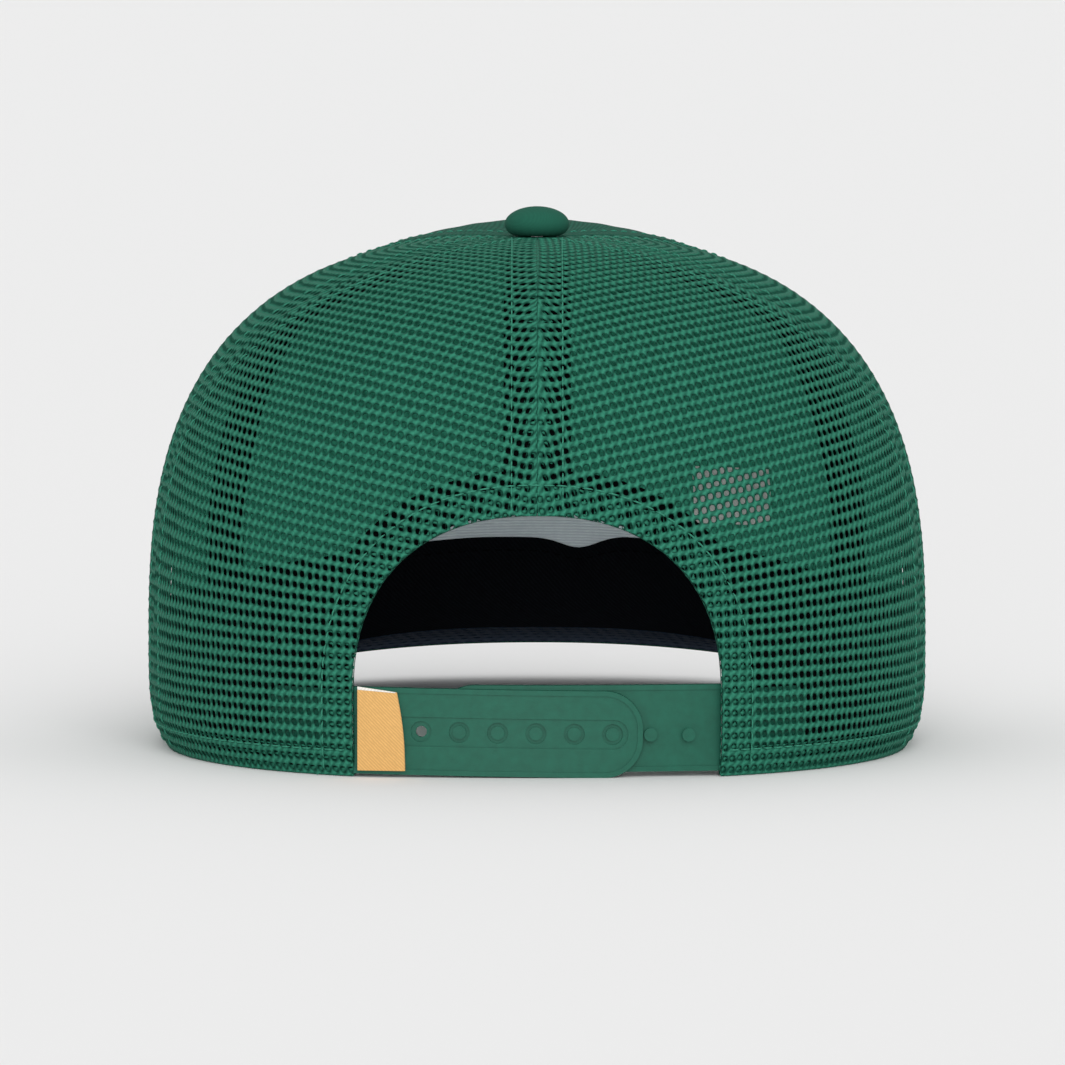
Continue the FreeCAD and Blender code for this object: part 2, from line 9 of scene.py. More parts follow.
import bpy
import numpy as np
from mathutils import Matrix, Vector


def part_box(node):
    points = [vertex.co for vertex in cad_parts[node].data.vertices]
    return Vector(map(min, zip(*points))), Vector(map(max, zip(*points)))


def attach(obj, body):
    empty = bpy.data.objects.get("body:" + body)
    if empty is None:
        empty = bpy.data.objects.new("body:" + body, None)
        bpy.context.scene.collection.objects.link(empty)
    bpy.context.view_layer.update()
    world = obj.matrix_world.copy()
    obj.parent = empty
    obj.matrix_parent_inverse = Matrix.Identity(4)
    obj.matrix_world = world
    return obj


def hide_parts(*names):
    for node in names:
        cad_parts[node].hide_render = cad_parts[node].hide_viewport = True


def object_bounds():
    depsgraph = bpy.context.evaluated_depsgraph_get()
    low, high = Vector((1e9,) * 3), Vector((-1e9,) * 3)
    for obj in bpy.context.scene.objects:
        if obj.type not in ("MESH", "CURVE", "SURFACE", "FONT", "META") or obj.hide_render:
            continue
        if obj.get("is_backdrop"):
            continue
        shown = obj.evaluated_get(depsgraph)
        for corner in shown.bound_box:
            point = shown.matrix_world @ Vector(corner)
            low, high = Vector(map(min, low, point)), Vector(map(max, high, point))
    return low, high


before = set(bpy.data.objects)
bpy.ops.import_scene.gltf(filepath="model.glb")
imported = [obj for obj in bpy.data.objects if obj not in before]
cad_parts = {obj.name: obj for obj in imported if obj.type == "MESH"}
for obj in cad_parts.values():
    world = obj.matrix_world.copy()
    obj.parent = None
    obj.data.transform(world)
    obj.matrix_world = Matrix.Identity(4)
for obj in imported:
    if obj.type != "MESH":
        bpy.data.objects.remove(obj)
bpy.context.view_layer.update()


# ---- Studio -----------------------------------------------------------------------------------
# A pale floor that runs past the horizon, an even sky, one broad sun and a low soft fill, both from the
# camera's side. The camera stands behind the cap, a little above it, with a long lens.
CAMERA_BACK = 1.8            # from the strap
CAMERA_HEIGHT = 0.192
CAMERA_ASIDE = 0.0011
CAMERA_DIP = 4.26
LENS = 261.1                 # for a 36 mm wide frame
STRAP_BACK = 0.0894          # the strap's plane, behind the crown's axis
FLOOR_HALF = 90.0
FLOOR_GREY = (0.79, 0.79, 0.79, 1)
SKY_STRENGTH = 0.85
LIGHTS = (("sun", 1.25, 40.0, 28.0, 8.0), ("fill", 1.05, 22.0, 5.0, -3.0))  # strength, spread, height, turn

button_low, button_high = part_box("button_cover")
AXIS_Y = (button_low[1] + button_high[1]) / 2

floor_mesh = bpy.data.meshes.new("studio_floor")
corners = [(-FLOOR_HALF, -FLOOR_HALF, 0), (FLOOR_HALF, -FLOOR_HALF, 0),
           (FLOOR_HALF, FLOOR_HALF, 0), (-FLOOR_HALF, FLOOR_HALF, 0)]
floor_mesh.from_pydata(corners, [], [(0, 1, 2, 3)])
studio_floor = bpy.data.objects.new("studio_floor", floor_mesh)
bpy.context.collection.objects.link(studio_floor)
floor_paint = bpy.data.materials.new("floor_paint")
floor_paint.use_nodes = True
floor_shader = floor_paint.node_tree.nodes["Principled BSDF"]
floor_shader.inputs["Base Color"].default_value = FLOOR_GREY
floor_shader.inputs["Roughness"].default_value = 0.9
floor_shader.inputs["Specular IOR Level"].default_value = 0.1
floor_mesh.materials.append(floor_paint)
studio_floor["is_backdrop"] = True

sky = bpy.data.worlds.new("studio_sky")
sky.use_nodes = True
sky.node_tree.nodes["Background"].inputs["Color"].default_value = (1.0, 1.0, 1.0, 1)
sky.node_tree.nodes["Background"].inputs["Strength"].default_value = SKY_STRENGTH
bpy.context.scene.world = sky
bpy.context.scene.view_settings.view_transform = "Standard"

for name, strength, spread, height, turn in LIGHTS:
    light = bpy.data.lights.new(name, "SUN")
    light.energy = strength
    light.angle = math.radians(spread)
    lamp = bpy.data.objects.new(name, light)
    lamp.rotation_euler = (math.radians(height - 90), 0, math.radians(turn))
    bpy.context.collection.objects.link(lamp)

camera_data = bpy.data.cameras.new("camera")
camera_data.lens = LENS
camera_data.sensor_width = 36
camera_data.clip_end = 400
camera = bpy.data.objects.new("camera", camera_data)
camera.location = (CAMERA_ASIDE, AXIS_Y + STRAP_BACK + CAMERA_BACK, CAMERA_HEIGHT)
camera.rotation_euler = (math.radians(90 - CAMERA_DIP), 0, math.radians(180))
bpy.context.collection.objects.link(camera)
bpy.context.scene.camera = camera


# ---- Knit mesh panels -------------------------------------------------------------------------
# Four gores of stiff polyester warp knit: rows of round holes between corded bands. Each is cut flat,
# bent over the crown and sewn to its neighbours along seams that swing to the back near the top.
MM = 0.001                   # metres in a millimetre
EDGE_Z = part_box("left_back_mesh")[0][2]
HALF_WIDTH = 0.0953
HALF_BACK = 0.0941
HALF_FRONT = 0.0970
SHOULDER_Z = 0.025
DOME = 0.0988
PLAN_POWER = 2.2
DOME_POWER = 2.7
FRONT_POWER = 0.4
FRONT_BULGE = 0.0054
FRONT_FADE = 80.0
TUCK_BACK = 0.0012
TUCK_SIDE = 0.0046
FRONT_RISE = 0.021
RISE_FADE = 85.0
RISE_FLAT = 1.3
TOP_HOLE = 0.0030
BACK_SEAM = 75.0
SEAM_LEAN = 33.0             # by which the side seams swing to the back as they near the top
LEAN_RISE = (24.0, 78.0)     # rises between which they swing
FRONT_SEAM = 125.0
ARCH_HALF = 0.0436
ARCH_SPRING = 0.0195
ARCH_RISE = 0.0424
ARCH_POWER = 2.3

COLUMN_PITCH = 2.05 * MM
ROW_PITCH = 2.72 * MM
HOLE_WIDE = 0.31             # half the hole, as a share of the column pitch
HOLE_TALL = 0.26             # half the hole, as a share of the row pitch
HOLE_CORNER = 0.76           # how far the hole's corners fill out
LOOP_RISE = 0.20             # how far the band's loops stand above its dips, as a share
LOOP_SLANT = 0.07            # how far they lean up, as a share of the row pitch
BAND_HEIGHT = 0.36 * MM      # cord between two rows of holes, above the middle of the cloth
RIB_HEIGHT = 0.24 * MM       # thread between two holes of a row
MESH_MIDDLE = 0.40 * MM      # the cloth's middle under the crown's outer skin
SEAM_ANGLE_GAP = 0.02
HOLE_SPARE = 0.15 * MM        # a hole stays open if the outline crops no more than this
GRAIN_LEAN = math.tan(math.radians(9.5))
ROW_BEND = 0.3               # how far the rows follow the gore's own curve
HEM_TURN = 7.0 * MM
BOTTOM_TURN = 6.4 * MM
SEAM_TURN = 2.4 * MM
SECOND_PLY_DEPTH = 1.15 * MM
SECOND_PLY_HOLE = 1.5
dice = np.random.default_rng(7)


def fade(front, reach):
    """1 at the middle of the front, falling as a squared cosine to 0 at reach degrees from it."""
    return np.where(np.abs(front) < reach, np.cos(np.radians(90 * np.clip(front / reach, -1, 1))) ** 2, 0.0)


def from_front(angle):
    """Degrees between an angle round the crown and the middle of the front."""
    return 180.0 - np.abs((angle + 180.0) % 360.0 - 180.0)


def meridian(angle, rise):
    """Share of the full radius, and height, on the crown's outer skin.

    Above the shoulder it is a superellipse quarter, more upright and bulged at the front; below it the
    wall is straight and draws in with the fourth power of the depth.
    """
    angle, rise = np.broadcast_arrays(np.asarray(angle, float), np.asarray(rise, float))
    front = from_front(angle)
    turn = np.radians(np.clip(rise, 0, 90))
    power = DOME_POWER + FRONT_POWER * fade(front, FRONT_FADE)
    reach = (np.cos(turn) ** power + np.sin(turn) ** power) ** (-1 / power)
    radius = np.cos(turn) * reach
    high = SHOULDER_Z + DOME * np.sin(turn) * reach
    high = high + FRONT_BULGE * fade(front, FRONT_FADE) * np.sin(np.pi * radius) ** 2
    low = SHOULDER_Z + DOME * np.radians(rise)
    tuck = TUCK_BACK + (TUCK_SIDE - TUCK_BACK) * np.sin(np.radians(angle)) ** 2
    wall = 1 - tuck * np.clip((SHOULDER_Z - low) / SHOULDER_Z, 0, 2) ** 4 / HALF_WIDTH
    return np.where(rise > 0, radius, wall), np.where(rise > 0, high, low)


def skin(angle, rise):
    """Points on the crown's outer skin: the meridian's radius times a superellipse seen from above."""
    radius, height = meridian(angle, rise)
    turn = np.radians(angle)
    back = np.where(np.cos(turn) > 0, HALF_BACK, HALF_FRONT)
    across = (np.abs(np.sin(turn)) / HALF_WIDTH) ** PLAN_POWER
    along = (np.abs(np.cos(turn)) / back) ** PLAN_POWER
    reach = radius * (across + along) ** (-1 / PLAN_POWER)
    return np.stack([reach * np.sin(turn), AXIS_Y + reach * np.cos(turn), EDGE_Z + height], -1)


def outward(angle, rise, step=0.05):
    """Unit normals of the skin, from the cross product of two central differences."""
    around = skin(angle + step, rise) - skin(angle - step, rise)
    up = skin(angle, rise + step) - skin(angle, rise - step)
    normal = np.cross(up, around)
    return normal / np.linalg.norm(normal, axis=-1, keepdims=True)


def under(angle, rise, depth):
    """Points a given depth inside the skin, along its normal."""
    return skin(angle, rise) - outward(angle, rise) * np.asarray(depth)[..., None]


# The back meridian as a table: rise, radius and height against the distance run up from the edge.
rises = np.linspace(-18, 89.9, 1200)
back_radius, back_height = meridian(0.0, rises)
run = np.hypot(np.diff(back_radius) * HALF_BACK, np.diff(back_height))
climb = np.concatenate([[0], np.cumsum(run)])
climb -= np.interp(0.0, back_height, climb)
narrowing = -np.gradient(back_radius * HALF_BACK, climb) / (back_radius * HALF_BACK)


def rise_at_height(height):
    return np.interp(height, back_height, rises)


def seam_at(seam, rise):
    """Angle at which a seam runs: upright, but for the side seams, which swing to the back."""
    share = np.clip((rise - LEAN_RISE[0]) / (LEAN_RISE[1] - LEAN_RISE[0]), 0, 1)
    lean = math.copysign(SEAM_LEAN, seam) * (abs(seam) == BACK_SEAM)
    return seam - lean * share * share * (3 - 2 * share)


def edge_height(angle):
    """Height of the crown's lower edge, which climbs over the brim."""
    return FRONT_RISE * fade((from_front(angle) / RISE_FADE) ** RISE_FLAT, 1.0)


def arch_reach(x, height):
    """Distance from the arch's centre as a share of its outline's: 1 on the outline, less inside."""
    above = np.maximum(height - ARCH_SPRING, 0)
    return ((np.abs(x) / ARCH_HALF) ** ARCH_POWER + (above / ARCH_RISE) ** ARCH_POWER) ** (1 / ARCH_POWER)


def back_angle(x, height):
    """Angle at which the back of the crown is x from the middle, by the plan's superellipse."""
    radius = np.interp(height, back_height, back_radius)
    share = np.clip(1 - (np.abs(x) / (radius * HALF_WIDTH)) ** PLAN_POWER, 0, 1) ** (1 / PLAN_POWER)
    return np.degrees(np.arctan2(x, share * radius * HALF_BACK))


def gore(column, row, first, last, lean):
    """Angle and rise of flat cloth coordinates, with the distance by which each is past the outline.

    Rows bend by a share of half the squared offset over the radius at which the gore narrows, plus a
    slant that grows above the arch.
    """
    middle, half = (first + last) / 2, math.radians(last - first) / 2
    radius = np.interp(row, climb, back_radius) * HALF_WIDTH
    inside = np.clip(column, -radius * half, radius * half)
    slant = np.clip((row - 0.022) / 0.045, 0, 1)
    slant = slant * slant * (3 - 2 * slant) * lean
    distance = row - 0.5 * ROW_BEND * inside ** 2 * np.interp(row, climb, narrowing) + slant * inside
    radius = np.maximum(np.interp(distance, climb, back_radius) * HALF_WIDTH, 0.5 * MM)
    angle = middle + np.degrees(column / radius)
    level = np.interp(distance, climb, rises)
    low, high = seam_at(first, level), seam_at(last, level)
    past = radius * np.radians(np.maximum(0, np.maximum(low - angle, angle - high)))
    angle = np.clip(angle, low + SEAM_ANGLE_GAP, high - SEAM_ANGLE_GAP)
    top = np.interp(TOP_HOLE, (back_radius * HALF_WIDTH)[::-1], climb[::-1])
    foot = np.interp(edge_height(angle), back_height, climb)
    past = np.maximum(past, np.maximum(distance - top, foot - distance))
    distance = np.clip(distance, foot, top)
    return angle, np.interp(distance, climb, rises), past, distance - foot


def clear_of_arch(angle, rise, past):
    """Moves back panel points out of the arch, straight away from its centre."""
    here = skin(angle, rise)
    x, height = here[..., 0], here[..., 2] - EDGE_Z
    reach = arch_reach(x, height)
    within = (reach < 1) & (np.abs(angle) < BACK_SEAM)
    push = np.where(within, 1 / np.maximum(reach, 1e-3), 1)
    new_x = x * push
    new_height = np.where(height > ARCH_SPRING, ARCH_SPRING + (height - ARCH_SPRING) * push, height)
    new_angle = back_angle(new_x, new_height)
    angle = np.where(within, new_angle, angle)
    rise = np.where(within, rise_at_height(new_height), rise)
    gap = (reach - 1) * np.hypot(x, np.maximum(height - ARCH_SPRING, 0)) / np.maximum(reach, 1e-3)
    return angle, rise, np.where(within, np.maximum(past, 1e-5), past), gap


def add_piece(name, points, faces, uv, ridge=None, crease=0):
    """Makes a mesh object of points and faces, turned so that its enclosed volume is positive."""
    tri = [np.stack([f[:, 0], f[:, k], f[:, k + 1]], 1) for f in faces for k in range(1, f.shape[1] - 1)]
    tri = np.concatenate(tri)
    a, b, c = points[tri[:, 0]], points[tri[:, 1]], points[tri[:, 2]]
    if (a * np.cross(b, c)).sum() < 0:
        faces = [f[:, ::-1] for f in faces]
    used = np.unique(np.concatenate([f.ravel() for f in faces]))
    index = np.full(len(points), -1)
    index[used] = np.arange(len(used))
    faces = [index[f] for f in faces]
    mesh = bpy.data.meshes.new(name)
    mesh.from_pydata(points[used].tolist(), [], [row for f in faces for row in f.tolist()])
    mesh.polygons.foreach_set("use_smooth", np.ones(len(mesh.polygons), bool))
    layer = mesh.uv_layers.new(name="cloth")
    corner = np.zeros(len(mesh.loops), np.int32)
    mesh.loops.foreach_get("vertex_index", corner)
    layer.data.foreach_set("uv", uv[used][corner].astype(np.float32).ravel())
    if ridge is not None:
        held = mesh.attributes.new("ridge", "FLOAT", "POINT")
        held.data.foreach_set("value", ridge[used].astype(np.float32))
    mesh.update()
    if crease:
        mesh.set_sharp_from_angle(angle=math.radians(crease))
    piece = bpy.data.objects.new(name, mesh)
    bpy.context.collection.objects.link(piece)
    return piece


RING = np.array([(-1, -1), (0, -1), (1, -1), (1, 0), (1, 1), (0, 1), (-1, 1), (-1, 0)])


def knit(name, first, last, lean, depth, keep=None, shift=(0.0, 0.0), widen=1.0):
    """Warp knit over a gore: a lattice of cells, each a rounded ring of thread about one hole.

    Cell walls share lattice points on the front and back; a ring partway in rounds the thread, and the
    hole's own ring lies in the cloth's middle. Cells on the outline are filled.
    """
    spans = np.maximum(seam_at(last, rises) - (first + last) / 2, (first + last) / 2 - seam_at(first, rises))
    half_cloth = float((np.radians(spans) * back_radius).max()) * HALF_WIDTH
    columns = int(math.ceil(2 * half_cloth / COLUMN_PITCH)) + 2
    rows = int(math.ceil(climb[-1] / ROW_PITCH)) + 6
    at_column = (np.arange(2 * columns + 1) / 2 - columns / 2 + shift[0]) * COLUMN_PITCH
    at_row = (np.arange(2 * rows + 1) / 2 - 3 + shift[1]) * ROW_PITCH
    column, row = np.meshgrid(at_column, at_row, indexing="ij")
    row[1::2, ::2] += LOOP_SLANT * ROW_PITCH

    def settle(c, r):
        angle, rise, past, up = gore(c, r, first, last, lean)
        angle, rise, past, gap = clear_of_arch(angle, rise, past)
        return angle, rise, past, up, gap

    angle, rise, past, up, gap = settle(column, row)
    inside = past <= 0
    i, j = np.meshgrid(np.arange(columns), np.arange(rows), indexing="ij")
    p, q = 2 * i[..., None] + 1 + RING[:, 0], 2 * j[..., None] + 1 + RING[:, 1]
    wanted = inside[p[..., ::2], q[..., ::2]].any(-1) | inside[2 * i + 1, 2 * j + 1]
    if keep is not None:
        centre = (slice(1, None, 2), slice(1, None, 2))
        wanted &= keep(angle[centre], up[centre], gap[centre])
    width = 2 * rows + 1
    lattice = p * width + q
    crest = np.where((np.arange(width) % 2 == 0)[None, :], BAND_HEIGHT, RIB_HEIGHT) * np.ones_like(angle)
    crest[::2, ::2] *= 1 - LOOP_RISE
    wobble = 1 + 0.08 * dice.standard_normal(crest.shape)
    normal = outward(angle, rise)
    base = skin(angle, rise) - normal * depth
    front = base + normal * (crest * wobble)[..., None]
    back = base - normal * (crest * wobble)[..., None]

    size = 1 + 0.07 * dice.standard_normal(i.shape + (2,))
    drift = 0.03 * dice.standard_normal(i.shape + (2,))
    rounded = np.where((np.abs(RING).sum(1) == 2)[:, None], RING * HOLE_CORNER, RING)
    hole = rounded * (HOLE_WIDE, HOLE_TALL) * widen * size[..., None, :] + drift[..., None, :]
    hole_column = at_column[1::2][:, None, None] + hole[..., 0] * COLUMN_PITCH
    hole_row = at_row[1::2][None, :, None] + hole[..., 1] * ROW_PITCH
    wall_column, wall_row = column[p, q], row[p, q]
    near_column = hole_column + 0.42 * (wall_column - hole_column)
    near_row = hole_row + 0.42 * (wall_row - hole_row)
    rings = []
    for c, r, lift in ((near_column, near_row, 0.86), (hole_column, hole_row, 0.0)):
        a, e, outside = settle(c, r)[:3]
        open_cell = wanted & (outside <= HOLE_SPARE).all(-1)
        n = outward(a, e)
        height = lift * crest[p, q] - depth
        rings.append((skin(a, e) + n * height[..., None]).reshape(-1, 3))

    count = front.shape[0] * front.shape[1]
    ring_index = np.arange(i.size * 8).reshape(i.shape + (8,))
    F, B = lattice, lattice + count
    M, H = ring_index + 2 * count, ring_index + 2 * count + i.size * 8
    turned = lambda k: np.roll(k, -1, axis=-1)
    quad = lambda a, b, c, d: np.stack([a, b, c, d], -1).reshape(-1, 4)
    faces = [quad(F, turned(F), turned(M), M)[np.repeat(wanted.ravel(), 8)]]
    holed = np.repeat(open_cell.ravel(), 8)
    faces[0] = np.concatenate([faces[0], quad(M, turned(M), turned(H), H)[holed],
                               quad(H, turned(H), turned(B), B)[holed]])
    filled = wanted & ~open_cell
    caps = np.concatenate([M[filled], B[filled][:, ::-1]])

    padded = np.pad(wanted, 1)
    for side, (di, dj) in enumerate(((0, -1), (1, 0), (0, 1), (-1, 0))):
        bare = wanted & ~padded[1 + di:1 + di + columns, 1 + dj:1 + dj + rows]
        for k in (2 * side, 2 * side + 1):
            n = (k + 1) % 8
            wall = np.stack([F[..., n], F[..., k], B[..., k], B[..., n]], -1)[bare]
            faces[0] = np.concatenate([faces[0], wall])
    faces.append(caps)

    points = np.concatenate([front.reshape(-1, 3), back.reshape(-1, 3)] + rings)
    flat_uv = np.stack([column / COLUMN_PITCH, row / ROW_PITCH], -1).reshape(-1, 2)
    uv = np.concatenate([flat_uv, flat_uv,
                         np.stack([near_column / COLUMN_PITCH, near_row / ROW_PITCH], -1).reshape(-1, 2),
                         np.stack([hole_column / COLUMN_PITCH, hole_row / ROW_PITCH], -1).reshape(-1, 2)])
    # The ridge attribute paints light and shade into the yarn's colour: full on the front crests, half on the
    # back, 0.8 of it partway in and near nothing on the hole rings. The crests carry a painted highlight and
    # the holes painted shade.
    high = (crest / BAND_HEIGHT) ** 2
    near = (0.8 * high[p, q]).ravel()
    ridge = np.concatenate([high.ravel(), 0.5 * high.ravel(), near, np.full(i.size * 8, 0.08)])
    piece = add_piece(name, points, faces, uv, ridge)
    cells = int(wanted.sum())
    return piece, cells * COLUMN_PITCH * ROW_PITCH


def yarn_finish(name, light, dark):
    """Knitted polyester with light and shade painted into its colour: a painted highlight on the band crests
    and painted shade down into the holes, by the ridge attribute, and a slanted loop per hole, bumped and
    painted lighter on its loops and darker between them, with fine fuzz.
    """
    made = bpy.data.materials.new(name)
    made.use_nodes = True
    nodes, links = made.node_tree.nodes, made.node_tree.links
    shader = nodes["Principled BSDF"]
    shader.inputs["Roughness"].default_value = 0.75
    shader.inputs["Specular IOR Level"].default_value = 0.1
    place = nodes.new("ShaderNodeUVMap")
    place.uv_map = "cloth"
    loops = nodes.new("ShaderNodeTexWave")
    loops.wave_type = "BANDS"
    loops.bands_direction = "DIAGONAL"
    loops.inputs["Scale"].default_value = 0.628
    loops.inputs["Distortion"].default_value = 1.6
    loops.inputs["Detail"].default_value = 2.0
    loops.inputs["Detail Scale"].default_value = 2.0
    links.new(place.outputs["UV"], loops.inputs["Vector"])
    fuzz = nodes.new("ShaderNodeTexNoise")
    fuzz.inputs["Scale"].default_value = 4.5
    fuzz.inputs["Detail"].default_value = 4.0
    links.new(place.outputs["UV"], fuzz.inputs["Vector"])
    ridge = nodes.new("ShaderNodeAttribute")
    ridge.attribute_name = "ridge"
    loop_share = nodes.new("ShaderNodeMath")
    loop_share.operation = "MULTIPLY"
    links.new(loops.outputs["Fac"], loop_share.inputs[0])
    links.new(fuzz.outputs["Fac"], loop_share.inputs[1])
    # Painted light level: the crest highlight from the ridge attribute plus the painted loop highlights.
    painted_light_level = nodes.new("ShaderNodeMath")
    painted_light_level.operation = "MULTIPLY_ADD"
    painted_light_level.inputs[1].default_value = 0.45
    links.new(ridge.outputs["Fac"], painted_light_level.inputs[0])
    links.new(loop_share.outputs[0], painted_light_level.inputs[2])
    ramp = nodes.new("ShaderNodeValToRGB")
    ramp.color_ramp.elements[0].position = 0.18
    ramp.color_ramp.elements[0].color = (*dark, 1)
    ramp.color_ramp.elements[1].position = 0.86
    ramp.color_ramp.elements[1].color = (*light, 1)
    links.new(painted_light_level.outputs[0], ramp.inputs["Fac"])
    links.new(ramp.outputs["Color"], shader.inputs["Base Color"])
    bump = nodes.new("ShaderNodeBump")
    bump.inputs["Strength"].default_value = 0.5
    bump.inputs["Distance"].default_value = 0.15 * MM
    links.new(loop_share.outputs[0], bump.inputs["Height"])
    links.new(bump.outputs["Normal"], shader.inputs["Normal"])
    return made


# The ramp's light end is the painted highlight on crests and loops. Its dark end is the painted shade in the
# holes and between the loops.
mesh_yarn = yarn_finish("green_mesh_yarn", (0.027, 0.185, 0.119), (0.0035, 0.048, 0.030))


def hem_zone(first, last):
    """Where the cloth is turned in: along the arch, the lower edge and the gore's two seams."""
    def turned(angle, up, gap):
        level = np.interp(up, climb, rises)
        radius = np.hypot(*np.moveaxis(skin(angle, level)[..., :2] - (0, AXIS_Y), -1, 0))
        to_seam = radius * np.radians(np.minimum(angle - seam_at(first, level), seam_at(last, level) - angle))
        return (gap < HEM_TURN) | (up < BOTTOM_TURN) | (to_seam < SEAM_TURN)
    return turned


panels = (("left_back", 0.0, BACK_SEAM, 1.0), ("right_back", -BACK_SEAM, 0.0, -1.0),
          ("left_side", BACK_SEAM, FRONT_SEAM, 0.0), ("right_side", -FRONT_SEAM, -BACK_SEAM, 0.0))
for side_name, first, last, way in panels:
    long_cut = climb[-1]
    wide_cut = math.radians(last - first) * HALF_WIDTH
    cloth, area = knit(side_name + "_knit", first, last, way * GRAIN_LEAN, MESH_MIDDLE)
    hem, hem_area = knit(side_name + "_turned_edge", first, last, -way * GRAIN_LEAN, SECOND_PLY_DEPTH,
                         hem_zone(first, last), (0.37, 0.45), SECOND_PLY_HOLE)
    for piece in (cloth, hem):
        piece.data.materials.append(mesh_yarn)
        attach(piece, "cap")
    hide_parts(side_name + "_mesh")
    area = min(area, wide_cut * long_cut)


# ---- Panel stitching --------------------------------------------------------------------------
# Lock stitches in lighter green thread: two rows by every seam, one round the arch and one above the
# lower edge, where the cut cloth is turned in. One cut end hangs at the left foot of the arch.
SEAM_ROW = 6.0 * MM
ARCH_ROW = 7.0 * MM
EDGE_ROW = 6.2 * MM
STITCH = 2.6 * MM
STITCH_GAP = 0.45 * MM
THREAD = 0.20 * MM
SEAM_FOOT_UP = 1 * MM        # a seam starts this far above the edge or the arch
SEAM_ROW_END = 0.11          # and its rows end at this share of the crown's full radius
TAIL_ANGLES = (32.3, 32.6, 32.9, 33.1)
TAIL_DROP = (0.0, 0.2, 0.35, 0.42)   # millimetres, as are the next
TAIL_OUT = (0.0, 0.5, 1.1, 1.7)


def arch_line(grow, count=240):
    """x and height round the arch, pushed out square to its outline; foot, over the top, foot."""
    turn = np.linspace(0, np.pi, count)
    reach = ((np.abs(np.cos(turn)) / ARCH_HALF) ** ARCH_POWER + (np.sin(turn) / ARCH_RISE) ** ARCH_POWER)
    reach = reach ** (-1 / ARCH_POWER)
    x, z = reach * np.cos(turn), reach * np.sin(turn)
    steer = ARCH_POWER - 1
    nx = np.sign(x) * (np.abs(x) / ARCH_HALF) ** steer / ARCH_HALF
    nz = (z / ARCH_RISE) ** steer / ARCH_RISE
    size = np.hypot(nx, nz)
    x, z = x + grow * nx / size, ARCH_SPRING + z + grow * nz / size
    leg = np.linspace(0.8 * MM, ARCH_SPRING, 24)[:-1]
    x = np.concatenate([np.full(23, ARCH_HALF + grow), x, np.full(23, -ARCH_HALF - grow)])
    return x, np.concatenate([leg, z, leg[::-1]])


def rise_where(angle, target, which=1, low=-20.0, high=89.9):
    """Rise at which the meridian has a given height, or share of full radius, found by halving."""
    angle, target = np.broadcast_arrays(np.asarray(angle, float), np.asarray(target, float))
    low, high = np.full(angle.shape, low), np.full(angle.shape, high)
    for _ in range(40):
        middle = (low + high) / 2
        value = meridian(angle, middle)[which]
        below = value < target if which else value > target
        low, high = np.where(below, middle, low), np.where(below, high, middle)
    return (low + high) / 2


def seam_foot(seam):
    """Height at which a seam starts: above the arch for the middle one, above the edge for the others."""
    return ARCH_SPRING + ARCH_RISE + SEAM_FOOT_UP if seam == 0 else edge_height(seam) + SEAM_FOOT_UP


def stitches(name, lines, finish, length=STITCH, gap=STITCH_GAP, thread=THREAD, body="cap"):
    """Runs of thread along lines of points with normals.

    Each stitch is a six-sided tube that starts and ends under the cloth and arches over it.
    """
    profile = np.array([0.4, 0.95, 1.0, 0.95, 0.4]) * thread
    arch = np.array([-1.5, 0.1, 0.5, 0.1, -1.5]) * thread
    turn = np.radians(np.arange(6) * 60.0)
    blocks, flats = [], []
    for path, normals in lines:
        travel = np.concatenate([[0], np.linalg.norm(np.diff(path, axis=0), axis=-1).cumsum()])
        starts = np.arange(gap, travel[-1] - length, length + gap)
        at = starts[:, None] + length * np.linspace(0, 1, 5)
        at[1:-1] += dice.normal(0, 0.03, at[1:-1].shape) * MM
        centre = np.stack([np.interp(at, travel, path[:, k]) for k in range(3)], -1)
        normal = np.stack([np.interp(at, travel, normals[:, k]) for k in range(3)], -1)
        along = centre[:, -1:] - centre[:, :1]
        along = along / np.linalg.norm(along, axis=-1, keepdims=True)
        side = np.cross(normal, along)
        side /= np.linalg.norm(side, axis=-1, keepdims=True)
        ring = (normal[:, :, None] * np.cos(turn)[:, None] + side[:, :, None] * np.sin(turn)[:, None])
        body_points = (centre + normal * arch[:, None])[:, :, None] + ring * profile[:, None, None]
        blocks.append(body_points.reshape(-1, 3))
        flat = np.stack(np.broadcast_arrays(at[:, :, None], turn * thread), -1) / MM
        flats.append(flat.reshape(-1, 2))
    points, uv = np.concatenate(blocks), np.concatenate(flats)
    index = np.arange(len(points)).reshape(-1, 5, 6)
    nxt = np.roll(index, -1, axis=2)
    quads = np.stack([index[:, :-1], index[:, 1:], nxt[:, 1:], nxt[:, :-1]], -1).reshape(-1, 4)
    caps = np.concatenate([index[:, 0], index[:, -1, ::-1]])
    piece = add_piece(name, points, [quads, caps], uv)
    piece.data.materials.append(finish)
    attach(piece, body)
    return piece


def along_skin(angle, rise, depth=0.0):
    """A line of points under the crown's skin, with its normals."""
    return under(angle, rise, np.full(np.shape(rise), depth)), outward(angle, rise)


def beside(seam, offset, rise):
    """Angle of points set square to a seam by an even distance, where it leans too."""
    middle = seam_at(seam, rise)
    here = skin(middle, rise)
    along = skin(seam_at(seam, rise + 0.5), rise + 0.5) - skin(seam_at(seam, rise - 0.5), rise - 0.5)
    around = skin(middle + 0.5, rise) - skin(middle - 0.5, rise)
    sway = (along * around).sum(-1) / np.linalg.norm(along, axis=-1) / np.linalg.norm(around, axis=-1)
    reach = np.hypot(here[:, 0], here[:, 1] - AXIS_Y) * np.sqrt(1 - sway ** 2)
    return middle + np.degrees(np.arcsin(np.clip(offset / reach, -1, 1)))


